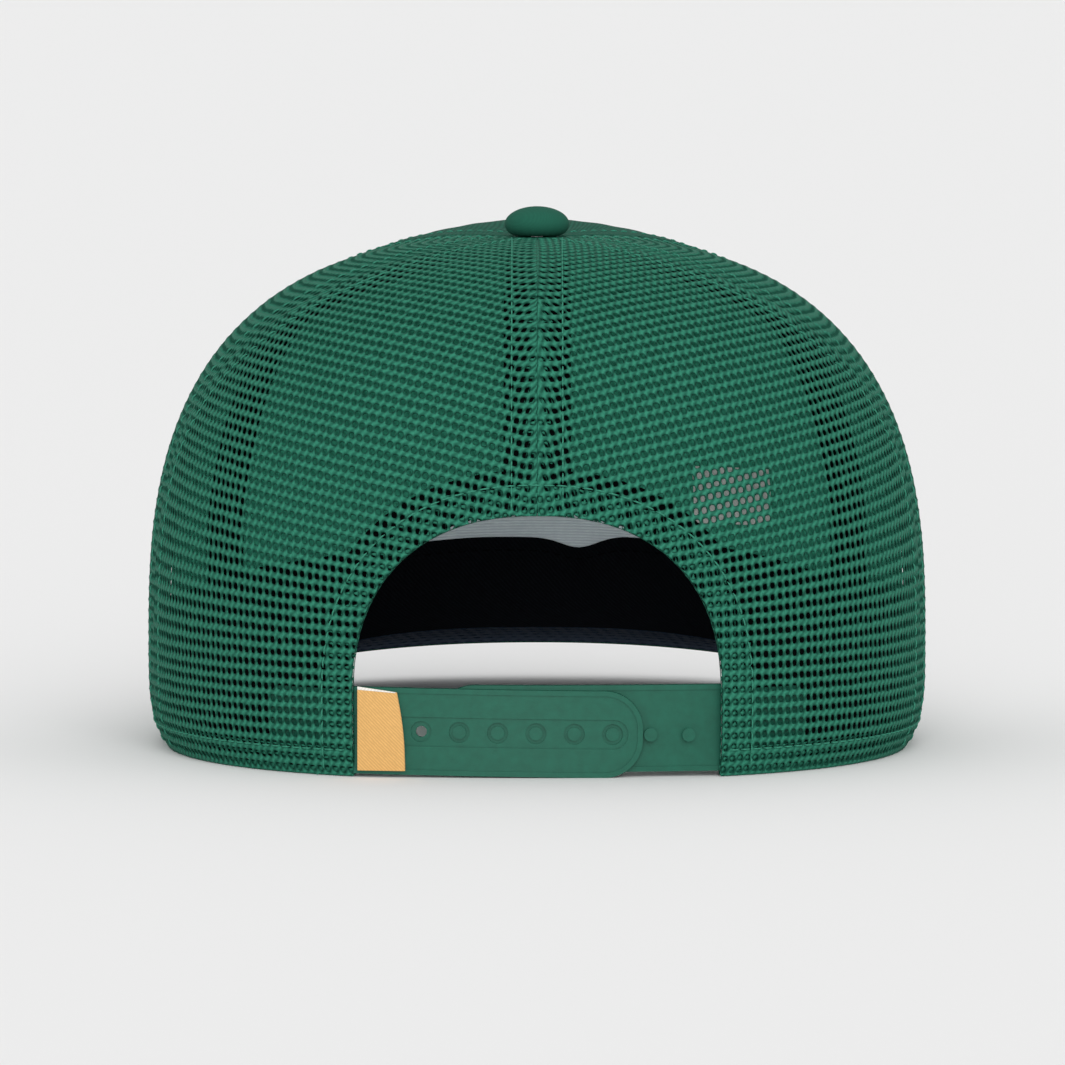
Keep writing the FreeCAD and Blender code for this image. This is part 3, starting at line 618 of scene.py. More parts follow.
seam_thread = yarn_finish("green_seam_thread", (0.062, 0.300, 0.205), (0.028, 0.170, 0.112))
lines = []
for seam in (0.0, BACK_SEAM, -BACK_SEAM, FRONT_SEAM, -FRONT_SEAM):
    rise = np.linspace(rise_where(seam, seam_foot(seam)), rise_where(seam, SEAM_ROW_END, 0), 160)
    for side in (-SEAM_ROW, SEAM_ROW):
        lines.append(along_skin(beside(seam, side, rise), rise))
arch_x, arch_z = arch_line(ARCH_ROW)
lines.append(along_skin(back_angle(arch_x, arch_z), rise_at_height(arch_z)))
for way in (-1, 1):
    angle = way * np.linspace(float(back_angle(ARCH_HALF + 1 * MM, 0.0)), FRONT_SEAM - 0.5, 300)
    lines.append(along_skin(angle, rise_where(angle, edge_height(angle) + EDGE_ROW)))
stitches("panel_stitching", lines, seam_thread)

tail_end = skin(np.array(TAIL_ANGLES), np.full(4, rise_at_height(0.6 * MM)))
tail_end[:, 2] -= np.array(TAIL_DROP) * MM
tail_end[:, 1] += np.array(TAIL_OUT) * MM
stitches("loose_thread_end", [(tail_end, np.tile((0.0, 0.2, 1.0), (4, 1)))], seam_thread,
         length=1.5 * MM, gap=0.05 * MM, thread=0.15 * MM)


# ---- Seam tapes -------------------------------------------------------------------------------
# Black twill tapes cover every seam on the inside, and one is bent round the arch. Each has a
# slightly raised woven edge, and gathers into shallow waves between its stitches.
TAPE_HALF = 8.0 * MM
TAPE_DEPTH = 1.62 * MM
TAPE_THICK = 0.36 * MM
ARCH_TAPE_DEPTH = 2.25 * MM
ARCH_TAPE = (0.9 * MM, 11.0 * MM)
TAPE_STOP = (0.009, 0.025)   # radius at which the middle tape and the others end


def woven_finish(name, colour, thread, contrast=0.35, rough=0.85, sheen=0.0, shine=0.08, place="cloth",
                 direction="DIAGONAL"):
    """Cloth of one colour: slanted ribs a thread apart, darker between, over a soft mottle."""
    made = bpy.data.materials.new(name)
    made.use_nodes = True
    nodes, links = made.node_tree.nodes, made.node_tree.links
    shader = nodes["Principled BSDF"]
    shader.inputs["Roughness"].default_value = rough
    shader.inputs["Sheen Weight"].default_value = sheen
    shader.inputs["Specular IOR Level"].default_value = shine
    if place == "cloth":
        at = nodes.new("ShaderNodeUVMap")
        at.uv_map = "cloth"
        source, period = at.outputs["UV"], thread
    else:
        source, period = nodes.new("ShaderNodeTexCoord").outputs["Object"], thread * MM
    rib = nodes.new("ShaderNodeTexWave")
    rib.bands_direction = direction
    rib.inputs["Scale"].default_value = 0.314 / period
    rib.inputs["Distortion"].default_value = 1.5
    rib.inputs["Detail"].default_value = 1.0
    rib.inputs["Detail Scale"].default_value = 1.5
    links.new(source, rib.inputs["Vector"])
    mottle = nodes.new("ShaderNodeTexNoise")
    mottle.inputs["Scale"].default_value = 0.35 / period
    mottle.inputs["Detail"].default_value = 5.0
    links.new(source, mottle.inputs["Vector"])
    shade = nodes.new("ShaderNodeMath")
    shade.operation = "MULTIPLY"
    links.new(rib.outputs["Fac"], shade.inputs[0])
    links.new(mottle.outputs["Fac"], shade.inputs[1])
    ramp = nodes.new("ShaderNodeValToRGB")
    ramp.color_ramp.elements[0].position = 0.0
    ramp.color_ramp.elements[0].color = (*(c * (1 - contrast) for c in colour), 1)
    ramp.color_ramp.elements[1].position = 0.6
    ramp.color_ramp.elements[1].color = (*(min(1.0, c * (1 + 0.6 * contrast)) for c in colour), 1)
    links.new(shade.outputs[0], ramp.inputs["Fac"])
    links.new(ramp.outputs["Color"], shader.inputs["Base Color"])
    bump = nodes.new("ShaderNodeBump")
    bump.inputs["Strength"].default_value = 0.6
    bump.inputs["Distance"].default_value = 0.05 * MM
    links.new(shade.outputs[0], bump.inputs["Height"])
    links.new(bump.outputs["Normal"], shader.inputs["Normal"])
    return made


def lengths_over(grid):
    """Distance run along each of a grid's two directions, in millimetres, for a weave to follow."""
    across = np.linalg.norm(np.diff(grid, axis=0), axis=-1).cumsum(0)
    along = np.linalg.norm(np.diff(grid, axis=1), axis=-1).cumsum(1)
    across = np.concatenate([np.zeros((1, grid.shape[1])), across])
    along = np.concatenate([np.zeros((grid.shape[0], 1)), along], 1)
    return np.stack([across, along], -1) / MM


def plate(name, outer, inner, finish, slot_name, node=None, crease=50, body="cap"):
    """A closed plate between two grids of points, walled along its rim; returns its area and cut too."""
    columns, rows = outer.shape[:2]
    count = columns * rows
    index = np.arange(count).reshape(columns, rows)
    quads = np.stack([index[:-1, :-1], index[1:, :-1], index[1:, 1:], index[:-1, 1:]], -1).reshape(-1, 4)
    rim = np.concatenate([index[:, 0], index[-1, 1:], index[-2::-1, -1], index[0, -2:0:-1]])
    ahead = np.roll(rim, -1)
    walls = np.stack([rim, rim + count, ahead + count, ahead], -1)
    faces = [np.concatenate([quads, quads[:, ::-1] + count, walls])]
    flat = lengths_over(outer)
    points = np.concatenate([outer.reshape(-1, 3), inner.reshape(-1, 3)])
    uv = np.concatenate([flat.reshape(-1, 2), flat.reshape(-1, 2)])
    piece = add_piece(name, points, faces, uv, None, crease)
    piece.data.materials.append(finish)
    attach(piece, body)
    if node:
        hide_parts(node)
    a, b, c, d = (outer.reshape(-1, 3)[quads[:, k]] for k in range(4))
    area = 0.5 * np.linalg.norm(np.cross(c - a, d - b), axis=-1).sum()
    cut = (flat[-1, :, 0].max() * MM, flat[:, -1, 1].max() * MM)
    return piece, area, cut


def cloth_plate(name, outer, inner, finish, slot_name, node=None, held="stretched",
                on=("sweatband",), **more):
    """A plate, of which only the piece is returned; its area and cut are dropped."""
    piece, area, cut = plate(name, outer, inner, finish, slot_name, node, **more)
    return piece


tape_cloth = woven_finish("black_tape_twill", (0.0022, 0.0024, 0.0028), 0.7, contrast=0.5, shine=0.03)


def tape_relief(across, along):
    """Selvedges a touch thicker, and waves along the middle; both in metres of height."""
    edge = np.clip((np.abs(across) - 0.82) / 0.18, 0, 1)
    return 0.09 * MM * np.sin(np.pi * edge) + 0.07 * MM * np.sin(along / (4.1 * MM)) * (1 - across ** 2)


for name, seam in (("centre_back", 0.0), ("left_back", BACK_SEAM), ("right_back", -BACK_SEAM),
                   ("left_front", FRONT_SEAM), ("right_front", -FRONT_SEAM)):
    top = TAPE_STOP[0] / HALF_BACK if seam == 0 else TAPE_STOP[1] / HALF_WIDTH
    rise = np.linspace(rise_where(seam, seam_foot(seam)), rise_where(seam, top, 0), 90)
    share = np.linspace(-1, 1, 15)
    angle = np.stack([beside(seam, s * TAPE_HALF, rise) for s in share])
    rise = np.broadcast_to(rise, angle.shape)
    travel = lengths_over(skin(angle, rise))[..., 1] * MM
    lift = tape_relief(share[:, None], travel)
    cloth_plate(name + "_tape", under(angle, rise, TAPE_DEPTH - lift * 0.3),
                under(angle, rise, TAPE_DEPTH + TAPE_THICK + lift), tape_cloth, "black_tape",
                name + "_seam_tape")

share = np.linspace(0, 1, 9)
x, z = zip(*(arch_line(ARCH_TAPE[0] + s * (ARCH_TAPE[1] - ARCH_TAPE[0])) for s in share))
x, z = np.array(x), np.array(z)
angle, rise = back_angle(x, z), rise_at_height(z)
lift = tape_relief(share[:, None] * 2 - 1, lengths_over(skin(angle, rise))[..., 1] * MM)
cloth_plate("arch_binding_tape", under(angle, rise, ARCH_TAPE_DEPTH), under(angle, rise,
            ARCH_TAPE_DEPTH + TAPE_THICK + lift), tape_cloth, "black_tape", "arch_tape")


# ---- Front panel ------------------------------------------------------------------------------
# One tall twill panel over thin foam, backed with green knit, pressed flat at its seams. The backing's green
# is painted far lighter than the front twill, as painted light coming in through the mesh. Its turned edge,
# of the same knit, shows through the side mesh. Above the sweatband the lining is a ribbed grey band.
FRONT_PLY = 0.4 * MM
FOAM_TOP = 0.45 * MM
FOAM_PRESSED = 0.2 * MM
FOAM_FULL = 2.5 * MM
FOAM_FLAT = 8.5 * MM
FOAM_RAMP = 18.0 * MM
BACKING_CLEAR = 0.1 * MM
BACKING_PLY = 0.25 * MM
BAND_CLEAR = 0.4 * MM
BAND_PLY = 0.25 * MM
BAND_HALF = 24.0             # degrees either side of the middle
BAND_LOW = 4.0 * MM
BAND_HIGH = 9.0 * MM
RIB_PITCH = 0.72 * MM
RIB_RELIEF = 0.11 * MM
SWEATBAND_TOP = 34.0 * MM
SWEATBAND_FRONT_UP = 8.0 * MM
CARE_X = (-72.5 * MM, -42.0 * MM)
CARE_Z = (47.5 * MM, 62.5 * MM)
CARE_CLEAR = 0.72 * MM
ALLOWANCE = 17.0             # degrees of turned edge beyond each front seam


def plain_finish(name, colour, rough, grain, metal=0.0, shine=0.3):
    """Moulded or pressed stuff: one colour with a faint cloud in it and a fine, uneven surface."""
    made = bpy.data.materials.new(name)
    made.use_nodes = True
    nodes, links = made.node_tree.nodes, made.node_tree.links
    shader = nodes["Principled BSDF"]
    shader.inputs["Metallic"].default_value = metal
    shader.inputs["Specular IOR Level"].default_value = shine
    at = nodes.new("ShaderNodeTexCoord")
    cloud = nodes.new("ShaderNodeTexNoise")
    cloud.inputs["Scale"].default_value = 0.12 / (grain * MM)
    cloud.inputs["Detail"].default_value = 3.0
    links.new(at.outputs["Object"], cloud.inputs["Vector"])
    ramp = nodes.new("ShaderNodeValToRGB")
    ramp.color_ramp.elements[0].position = 0.3
    ramp.color_ramp.elements[0].color = (*(c * 0.9 for c in colour), 1)
    ramp.color_ramp.elements[1].position = 0.7
    ramp.color_ramp.elements[1].color = (*(min(1.0, c * 1.08) for c in colour), 1)
    links.new(cloud.outputs["Fac"], ramp.inputs["Fac"])
    links.new(ramp.outputs["Color"], shader.inputs["Base Color"])
    fine = nodes.new("ShaderNodeTexNoise")
    fine.inputs["Scale"].default_value = 1 / (grain * MM)
    fine.inputs["Detail"].default_value = 3.0
    links.new(at.outputs["Object"], fine.inputs["Vector"])
    gloss = nodes.new("ShaderNodeMapRange")
    gloss.inputs["To Min"].default_value = rough - 0.06
    gloss.inputs["To Max"].default_value = rough + 0.08
    links.new(fine.outputs["Fac"], gloss.inputs["Value"])
    links.new(gloss.outputs["Result"], shader.inputs["Roughness"])
    bump = nodes.new("ShaderNodeBump")
    bump.inputs["Strength"].default_value = 0.25
    bump.inputs["Distance"].default_value = 0.04 * MM
    links.new(fine.outputs["Fac"], bump.inputs["Height"])
    links.new(bump.outputs["Normal"], shader.inputs["Normal"])
    return made


def between(start, end, count):
    """Rows from start to end, each an array over the columns."""
    share = np.linspace(0, 1, count)
    return np.asarray(start)[:, None] * (1 - share) + np.asarray(end)[:, None] * share


def foam_depth(angle, rise):
    """Inner depth of the foam: thin by the seams, then swelling in a smooth step to full thickness."""
    here = skin(angle, rise)
    to_seam = np.maximum(0, 180 - FRONT_SEAM - from_front(angle))
    off = np.hypot(here[..., 0], here[..., 1] - AXIS_Y) * np.sin(np.radians(to_seam))
    share = np.clip((off - FOAM_FLAT) / FOAM_RAMP, 0, 1)
    share = share * share * (3 - 2 * share)
    return FOAM_TOP + FOAM_PRESSED + (FOAM_FULL - FOAM_PRESSED) * share


def front_grid(first, last, columns, rows):
    angle = np.linspace(first, last, columns)
    rise = between(rise_where(angle, edge_height(angle)), rise_where(angle, TOP_HOLE / HALF_WIDTH, 0), rows)
    return np.broadcast_to(angle[:, None], rise.shape), rise


front_twill = woven_finish("green_front_twill", (0.0130, 0.086, 0.057), 0.62, contrast=0.3)
foam_stuff = plain_finish("pale_foam", (0.62, 0.60, 0.50), 0.9, 0.35)
# Painted light: the backing's green is far lighter than the front twill's. It stands for light that comes in
# through the mesh and falls on the backing seen through its holes.
backing_knit_painted_light = woven_finish("green_backing_knit", (0.070, 0.460, 0.300), 0.9, contrast=0.25)
grey_rib = woven_finish("grey_ribbed_lining", (0.82, 0.90, 0.98), 0.72, contrast=0.12, direction="Y")
care_tape = woven_finish("white_care_tape", (0.88, 0.88, 0.86), 0.5, contrast=0.08, rough=0.6)

angle, rise = front_grid(FRONT_SEAM + 0.03, 360 - FRONT_SEAM - 0.03, 111, 71)
ripple = 0.10 * MM * np.sin(angle * 0.55) * np.sin(rise * 0.21 + 1)
outer = np.clip(ripple, -0.1 * MM, 0.1 * MM)
cloth_plate("front_twill_panel", under(angle, rise, outer),
            under(angle, rise, outer * 0 + FRONT_PLY - 0.02 * MM), front_twill, "green_front_fabric",
            "front_face_fabric")
depth = foam_depth(angle, rise)
foam_piece, _, _ = plate("front_foam_layer", under(angle, rise, FOAM_TOP + 0 * angle),
                         under(angle, rise, depth), foam_stuff, "foam", "front_foam")
# The backing sheet, in the green knit with painted light.
cloth_plate("front_knit_backing", under(angle, rise, depth + BACKING_CLEAR),
            under(angle, rise, depth + BACKING_CLEAR + BACKING_PLY), backing_knit_painted_light, "green_knit_backing",
            "front_backing")

# The turned edges, in the same green knit with painted light.
for name, first, last in (("left", FRONT_SEAM - ALLOWANCE, FRONT_SEAM - 0.2),
                          ("right", 360 - FRONT_SEAM + 0.2, 360 - FRONT_SEAM + ALLOWANCE)):
    angle, rise = front_grid(first, last, 13, 61)
    rise = np.minimum(rise, rise_where(angle, 0.25, 0))
    waves = 0.10 * MM * np.sin(rise * 0.9)
    cloth_plate(name + "_front_turned_edge", under(angle, rise, 0.98 * MM + waves),
                under(angle, rise, 1.30 * MM + waves), backing_knit_painted_light, "green_knit_backing")

angle = np.linspace(180 - BAND_HALF, 180 + BAND_HALF, 101)
band_top = SWEATBAND_TOP + SWEATBAND_FRONT_UP * fade(from_front(angle), RISE_FADE)
rise = between(rise_where(angle, band_top - BAND_LOW), rise_where(angle, band_top + BAND_HIGH), 109)
angle = np.broadcast_to(angle[:, None], rise.shape)
ribs = RIB_RELIEF * np.abs(np.sin(np.pi * lengths_over(skin(angle, rise))[..., 1] * MM / RIB_PITCH))
depth = foam_depth(angle, rise) + BAND_CLEAR
cloth_plate("ribbed_lining_band", under(angle, rise, depth), under(angle, rise, depth + BAND_PLY + ribs),
            grey_rib, "grey_lining", "front_lining_band")

span = [180 + math.degrees(math.atan2(-x, HALF_FRONT * 0.92)) for x in CARE_X]
angle = np.linspace(min(span), max(span), 31)
rise = between(rise_where(angle, CARE_Z[0]), rise_where(angle, CARE_Z[1]), 21)
angle = np.broadcast_to(angle[:, None], rise.shape)
curl = 0.5 * MM * np.linspace(-1, 1, 21) ** 4
depth = foam_depth(angle, rise) + CARE_CLEAR
cloth_plate("blank_care_label", under(angle, rise, depth), under(angle, rise, depth + 0.2 * MM + curl * 0.3),
            care_tape, "white_label", "care_label")


# ---- Sweatband --------------------------------------------------------------------------------
# A black twill band over a stiff backing, sewn in along the lower edge. Its free top edge waves, dips
# beside the middle of the front and folds inwards below the dip.
BAND_BACK_DEPTH = 2.75 * MM
BAND_FRONT_DEPTH = 4.05 * MM
BAND_BACKING = 0.5 * MM
BAND_FACE = (0.56 * MM, 0.95 * MM)
BAND_RAISE = 1.2 * MM
BAND_DROP = 1.6 * MM          # how far it hangs below the crown's edge over the brim
DIP_X = -10.4 * MM
DIP_DEEP = 2.1 * MM
DIP_WIDE = 6 * MM
STEP_X = 14 * MM             # where its top edge steps up, on the wearer's right
STEP_WIDE = 10 * MM
STEP_RAISE = 1.3 * MM
TOP_WAVE = 0.35 * MM
BAND_ROWS = 29
BAND_STITCH = 0.88           # its stitched row, as a share of its height
FOLD_X = -13.0 * MM
FOLD_IN = 2.4 * MM

sweat_twill = woven_finish("black_sweatband_twill", (0.0038, 0.0045, 0.0062), 0.6, contrast=0.45, shine=0.03)
stiffener = woven_finish("black_band_stiffener", (0.004, 0.0043, 0.005), 0.9, contrast=0.3, shine=0.03)

band_end = float(back_angle(ARCH_HALF + 2 * MM, 10 * MM))
angle = np.linspace(band_end, 360 - band_end, 361)
across = skin(angle, 0 * angle)[:, 0]
at_front = fade(from_front(angle), 60.0)
step_up = np.clip((-across - STEP_X) / STEP_WIDE, 0, 1)
top = SWEATBAND_TOP + SWEATBAND_FRONT_UP * fade(from_front(angle), RISE_FADE) + BAND_RAISE * at_front
step_up = step_up * step_up * (3 - 2 * step_up) * STEP_RAISE
dip = DIP_DEEP * np.exp(-((across - DIP_X) / DIP_WIDE) ** 2)
top = top + at_front * (step_up - dip) + TOP_WAVE * np.sin(np.radians(angle) * 9)
low_edge = edge_height(angle) + 0.5 * MM - BAND_DROP * fade(from_front(angle), 75.0)
rise = between(rise_where(angle, low_edge), rise_where(angle, top), BAND_ROWS)
share = np.broadcast_to(np.linspace(0, 1, BAND_ROWS), rise.shape)
wide = np.broadcast_to(angle[:, None], rise.shape)
swell = np.minimum(1, 1.6 * np.sqrt(fade(from_front(wide), FRONT_FADE)))
base = BAND_BACK_DEPTH + (BAND_FRONT_DEPTH - BAND_BACK_DEPTH) * swell
fold_x = FOLD_X - 9 * MM * (1 - share)
fold = FOLD_IN * at_front[:, None] * np.exp(-((across[:, None] - fold_x) / (4.2 * MM)) ** 2) * share ** 0.6
waves = 0.35 * np.sin(np.radians(wide) * 13) + 0.25 * np.sin(np.radians(wide) * 29)
lean = share ** 2 * (0.5 + waves) * MM
lower_roll = 0.35 * MM * np.exp(-share / 0.05)
base = base + fold + np.maximum(lean, 0) + lower_roll
cloth_plate("sweatband_stiffener", under(wide, rise, base), under(wide, rise, base + BAND_BACKING), stiffener,
            "sweatband_backing", "sweatband_backing", on=("front_knit_backing",))
ridge = 0.16 * MM * np.exp(-((share - 0.93) / 0.03) ** 2)
groove = 0.1 * MM * np.exp(-((share - BAND_STITCH) / 0.015) ** 2)
cloth_plate("sweatband_face", under(wide, rise, base + BAND_FACE[0]),
            under(wide, rise, base + BAND_FACE[1] + ridge - groove),
            sweat_twill, "black_sweatband", "sweatband", on=("sweatband_stiffener",))
row = int(BAND_STITCH * (BAND_ROWS - 1))
stitches("sweatband_stitching", [(under(angle, rise[:, row], base[:, row] + BAND_FACE[1]),
                                  -outward(angle, rise[:, row]))], tape_cloth)


# ---- Brim -------------------------------------------------------------------------------------
# A stiff board between two covers, curved down at the sides. The top cover is rolled over the
# board's edge, and eight rows of stitching run through all three, each sunk in its own groove.
BRIM_HALF_ANGLE = 62.0
BRIM_HALF_WIDTH = 89.0 * MM
BRIM_LENGTH = 112.0 * MM
BRIM_WIDE_Y = -54.0 * MM
BRIM_POWER = 2.4
BRIM_TIP_Z = 11.0 * MM
BRIM_SIDE_Z = 1.75 * MM
BRIM_CROWN = 2.5 * MM
BRIM_CLEAR = 0.5 * MM
BOARD_HALF = 1.1 * MM
COVER_LOW = 0.05 * MM
COVER_PLY = 0.5 * MM
BRIM_ROWS = (0.955, 0.885, 0.815, 0.745, 0.675, 0.605, 0.535, 0.465)
GROOVE = 0.12 * MM


def brim_skin(u, s):
    """Middle surface of the board: lines ruled from the crown's edge to a superellipse, bowed up."""
    angle = 180.0 - BRIM_HALF_ANGLE * u
    root = skin(angle, rise_where(angle, edge_height(angle)))
    out = root - (0, AXIS_Y, 0)
    out[..., 2] = 0
    root = root + out / np.linalg.norm(out, axis=-1, keepdims=True) * BRIM_CLEAR
    turn = np.pi / 2 * u
    across = (np.abs(np.sin(turn)) / BRIM_HALF_WIDTH) ** BRIM_POWER
    reach = (across + (np.cos(turn) / BRIM_LENGTH) ** BRIM_POWER) ** (-1 / BRIM_POWER)
    level = EDGE_Z + BRIM_SIDE_Z + (BRIM_TIP_Z - BRIM_SIDE_Z) * np.cos(turn) ** 2
    edge = np.stack([reach * np.sin(turn), AXIS_Y + BRIM_WIDE_Y - reach * np.cos(turn), level], -1)
    at = root * (1 - s)[..., None] + edge * s[..., None]
    at[..., 2] += BRIM_CROWN * 4 * s * (1 - s) * np.sqrt(np.clip(np.cos(turn), 0, 1))
    return at


def brim_frame(u, s, step=0.003):
    """Points, upward normals and outward directions of the brim's middle surface."""
    across = brim_skin(u + step, s) - brim_skin(u - step, s)
    out = brim_skin(u, s + step) - brim_skin(u, s - step)
    up = np.cross(out, across)
    up = up * np.sign(up[..., 2:])
    size = lambda v: v / np.linalg.norm(v, axis=-1, keepdims=True)
    return brim_skin(u, s), size(up), size(out)


def grooves(s):
    """Depth of the sunk stitch rows, a narrow bell across each."""
    return GROOVE * sum(np.exp(-((s - row) / 0.008) ** 2) for row in BRIM_ROWS)


brim_twill = woven_finish("green_brim_twill", (0.0130, 0.086, 0.057), 0.62, contrast=0.3)
under_twill = woven_finish("navy_under_brim_twill", (0.028, 0.046, 0.078), 0.62, contrast=0.2, shine=0.03)
board_stuff = plain_finish("brim_board_sheet", (0.70, 0.70, 0.66), 0.5, 0.6)

u = np.linspace(-0.993, 0.993, 141)[:, None]
s = np.linspace(0, 1, 161)[None, :]
u, s = np.broadcast_arrays(u, s)
at, up, out = brim_frame(u, s)
high, low = BOARD_HALF + COVER_LOW + COVER_PLY, BOARD_HALF + COVER_LOW
turn = np.radians(np.linspace(90, -90, 15))[None, 1:, None]
tip, tip_up, tip_out = at[:, -1:], up[:, -1:], out[:, -1:]
rolled = [tip + tip_up * h * np.sin(turn) + tip_out * h * np.cos(turn) for h in (high, low)]
outer = np.concatenate([at + up * (high - grooves(s))[..., None], rolled[0]], 1)
inner = np.concatenate([at + up * (low - 0.02 * MM), rolled[1]], 1)
cloth_plate("brim_top_cloth", outer, inner, brim_twill, "green_brim_fabric", "brim_top_cover",
            on=("brim_board",))
stop = 157                   # the under cover ends short of the rolled edge
outer = (at - up * (high - grooves(s))[..., None])[:, :stop]
cloth_plate("brim_under_cloth", outer, (at - up * low)[:, :stop], under_twill, "navy_brim_fabric",
            "brim_under_cover", on=("brim_board",))

upper, lower = [], []
for row in BRIM_ROWS:
    u_row = np.linspace(-0.985, 0.985, 400)
    at, up, _ = brim_frame(u_row, np.full(400, row))
    upper.append((at + up * (high - GROOVE * 0.7), up))
    lower.append((at - up * (high - GROOVE * 0.7), -up))
stitches("brim_top_stitching", upper, seam_thread, length=2.9 * MM)
navy_thread = woven_finish("navy_thread", (0.031, 0.050, 0.083), 0.4, contrast=0.2, shine=0.03)
stitches("brim_under_stitching", lower, navy_thread, length=2.9 * MM)

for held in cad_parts["brim_board"].material_slots:
    held.material = board_stuff


# ---- Top button -------------------------------------------------------------------------------
# A pressed metal dome covered in the front's twill, gathered under its rim, on a flanged rivet.
BUTTON_RADIUS = 7.9 * MM
BUTTON_WIDE_Z = 3.0 * MM      # its widest line, above the crown's top
BUTTON_TOP = 7.35 * MM
BUTTON_UNDER = 0.12 * MM
BUTTON_HEM_RADIUS = 4.6 * MM
BUTTON_CLOTH = 0.45 * MM
GATHERS = 22

button_twill = woven_finish("green_button_twill", (0.0135, 0.088, 0.058), 0.45, contrast=0.06, place="object")
zinc = plain_finish("zinc_plated_steel", (0.55, 0.55, 0.56), 0.35, 0.3, metal=1.0)


def turned_profile(shrink):
    """Radius and height from the dome's top, round its widest line, to the hem gathered below."""
    over = np.radians(np.linspace(89.0, 0, 26))
    below = np.radians(np.linspace(0, 78, 14))[1:]
    r = np.concatenate([np.cos(over) * (BUTTON_RADIUS - shrink),
                        BUTTON_HEM_RADIUS + (BUTTON_RADIUS - shrink - BUTTON_HEM_RADIUS) * np.cos(below)])
    z = np.concatenate([BUTTON_WIDE_Z + np.sin(over) * (BUTTON_TOP - BUTTON_WIDE_Z - shrink),
                        BUTTON_WIDE_Z - np.sin(below) * (BUTTON_WIDE_Z - BUTTON_UNDER - shrink)])
    return r, z


def button_ring(radius, height, around):
    """The profile turned about the crown's axis, with shallow gathers that grow below the rim."""
    pull = np.clip((BUTTON_WIDE_Z - height) / BUTTON_WIDE_Z, 0, 1) ** 2
    radius = radius * (1 - 0.018 * pull * np.cos(GATHERS * around[:, None]))
    x, y = radius * np.sin(around[:, None]), radius * np.cos(around[:, None])
    return np.stack([x, AXIS_Y + y, np.broadcast_to(POLE_Z + height, x.shape)], -1)


def turned_shell(name, outside, inside, finish, node):
    """Closes an outer and an inner turned profile, both from top to hem, into one hollow dome."""
    outer = button_ring(*turned_profile(outside), around)
    inner = button_ring(*turned_profile(inside), around)[:, ::-1]
    points = np.concatenate([outer, inner], 1)
    index = np.arange(points.shape[0] * points.shape[1]).reshape(points.shape[:2])
    ahead = np.roll(index, -1, axis=0)
    quads = np.stack([index[:, :-1], ahead[:, :-1], ahead[:, 1:], index[:, 1:]], -1).reshape(-1, 4)
    caps = np.stack([index[::-1, 0], index[:, -1]])
    piece = add_piece(name, points.reshape(-1, 3), [quads, caps], lengths_over(points).reshape(-1, 2))
    piece.data.materials.append(finish)
    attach(piece, "cap")
    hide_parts(node)
    return piece


POLE_Z = EDGE_Z + SHOULDER_Z + DOME
around = np.radians(np.arange(96) * 3.75)
cover = turned_shell("button_twill_cover", 0.0, BUTTON_CLOTH, button_twill,
                     "button_cover")
turned_shell("button_metal_dome", BUTTON_CLOTH + 0.05 * MM, BUTTON_CLOTH + 0.6 * MM, zinc,
             "button_shell")
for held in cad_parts["button_rivet"].material_slots:
    held.material = zinc


# ---- Snap closure -----------------------------------------------------------------------------
# Two soft plastic straps, one with seven holes and one with seven studs, fastened on five of them. Each
# is sewn in behind the mesh by a flat tab that shows through it.
TAB_DEPTH = 1.62 * MM
TAB_THICK = 0.55 * MM
TAB_START = 44.7 * MM
TAB_END = 64.5 * MM
TAB_Z = (2.5 * MM, 20.5 * MM)

strap_plastic = plain_finish("green_strap_plastic", (0.0064, 0.086, 0.054), 0.45, 0.25, shine=0.2)

for name in ("hole_strap", "stud_strap"):
    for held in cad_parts[name].material_slots:
        held.material = strap_plastic
for name, way in (("hole_strap_tab", 1), ("stud_strap_tab", -1)):
    x = np.linspace(TAB_START, TAB_END, 31)
    corner = np.clip((x - TAB_END + 3 * MM) / (3 * MM), 0, 1) ** 2 * 2.2 * MM
    height = between(TAB_Z[0] + corner, TAB_Z[1] - corner, 19)
    angle = way * back_angle(x[:, None], height)
    rise = rise_at_height(height)
    rim = 0.12 * MM * (np.abs(np.linspace(-1, 1, 19)) > 0.85)
    plate(name + "_sewn_in", under(angle, rise, TAB_DEPTH - rim),
          under(angle, rise, TAB_DEPTH + TAB_THICK + 0 * angle), strap_plastic, "green_strap_plastic", name)


# ---- Woven label ------------------------------------------------------------------------------
# A blank satin tape folded over on itself and sewn in at the arch. The near ply is cut a little short
# at the top, so the pale back of the far ply shows above it, and the fold leans and bellies.
LABEL_ROOT = 42.2 * MM
LABEL_FOLD = 32.4 * MM
LABEL_LEAN = 1.9 * MM
LABEL_BELLY = 0.5 * MM
LABEL_PLY = 0.33 * MM
LABEL_GAP = 0.34 * MM
LABEL_LOW = 1.5 * MM
LABEL_FRONT_TOP = (20.5 * MM, 19.8 * MM)
LABEL_BACK_TOP = (21.2 * MM, 20.0 * MM)
STRAP_CENTRE = 0.1676        # the middle of the strap's arc, before the crown's axis
STRAP_RADIUS = 0.255
LABEL_CLEAR = 0.62 * MM

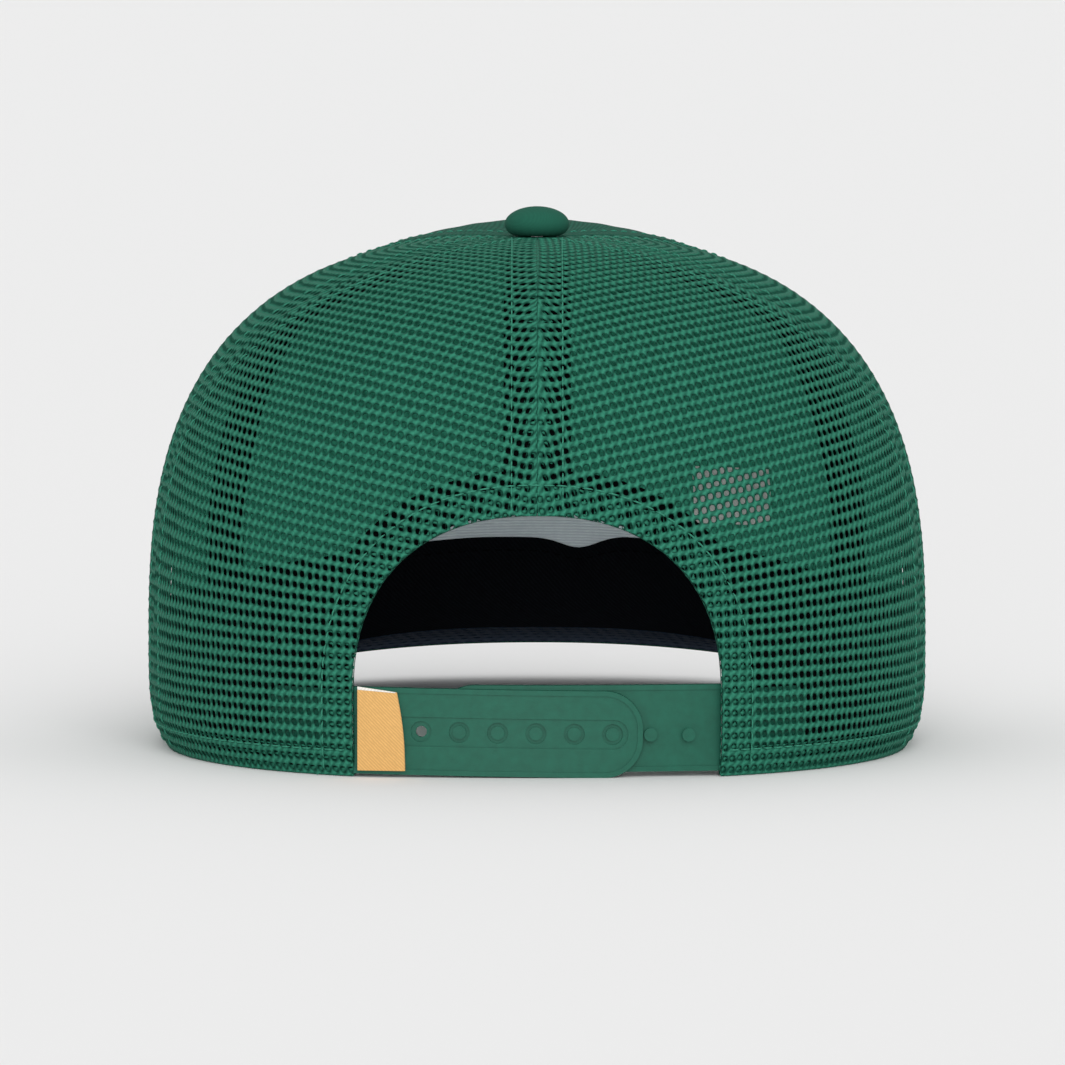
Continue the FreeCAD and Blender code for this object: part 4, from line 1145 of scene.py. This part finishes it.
satin = woven_finish("orange_label_satin", (0.60, 0.345, 0.118), 0.42, contrast=0.16, rough=0.55, sheen=0.2)
satin_back = woven_finish("white_label_back", (0.78, 0.76, 0.72), 0.42, contrast=0.12, rough=0.6)

rows = 45
share = np.linspace(0, 1, rows)
run_out = np.linspace(1, 0, 21)
bend = np.radians(np.linspace(0, 180, 13))[1:-1]
x_share = np.concatenate([run_out, np.zeros(11), run_out[::-1]])
bow = np.concatenate([np.zeros(21), np.sin(bend), np.zeros(21)])
half = (LABEL_GAP + LABEL_PLY) / 2
side = np.concatenate([np.ones(21), np.cos(bend), -np.ones(21)])
fold_x = LABEL_FOLD + LABEL_LEAN * (share - 0.5) - LABEL_BELLY * np.sin(np.pi * share)
fold_top = np.linspace(LABEL_FRONT_TOP[1], LABEL_BACK_TOP[1], 13)[1:-1]
ply_top = np.concatenate([np.linspace(*LABEL_FRONT_TOP, 21), fold_top,
                          np.linspace(*LABEL_BACK_TOP[::-1], 21)])
height = LABEL_LOW + (ply_top[:, None] - LABEL_LOW) * share[None, :]
belly = 0.25 * MM * np.sin(np.pi * x_share)[:, None] * np.sin(np.pi * share)[None, :]
belly = belly * np.maximum(side, 0)[:, None]


def label_grid(offset):
    """The folded tape's plan, a run out, a half turn and a run back, carried up its height."""
    reach = half + offset
    x = fold_x[None, :] + (LABEL_ROOT - fold_x[None, :]) * x_share[:, None] - bow[:, None] * reach
    strap_y = AXIS_Y - STRAP_CENTRE + np.sqrt(STRAP_RADIUS ** 2 - x ** 2) + LABEL_CLEAR + half
    return np.stack([x, strap_y + side[:, None] * reach + belly, EDGE_Z + height], -1)


piece = cloth_plate("woven_label_tape", label_grid(LABEL_PLY / 2), label_grid(-LABEL_PLY / 2), satin,
                    "orange_label", "woven_label", held="folded", on=("hole_strap",), body="label")
piece.data.materials.append(satin_back)
outer_faces = (len(x_share) - 1) * (rows - 1)
which = np.zeros(len(piece.data.polygons), np.int32)
which[outer_faces:2 * outer_faces] = 1
piece.data.polygons.foreach_set("material_index", which)


low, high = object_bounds()
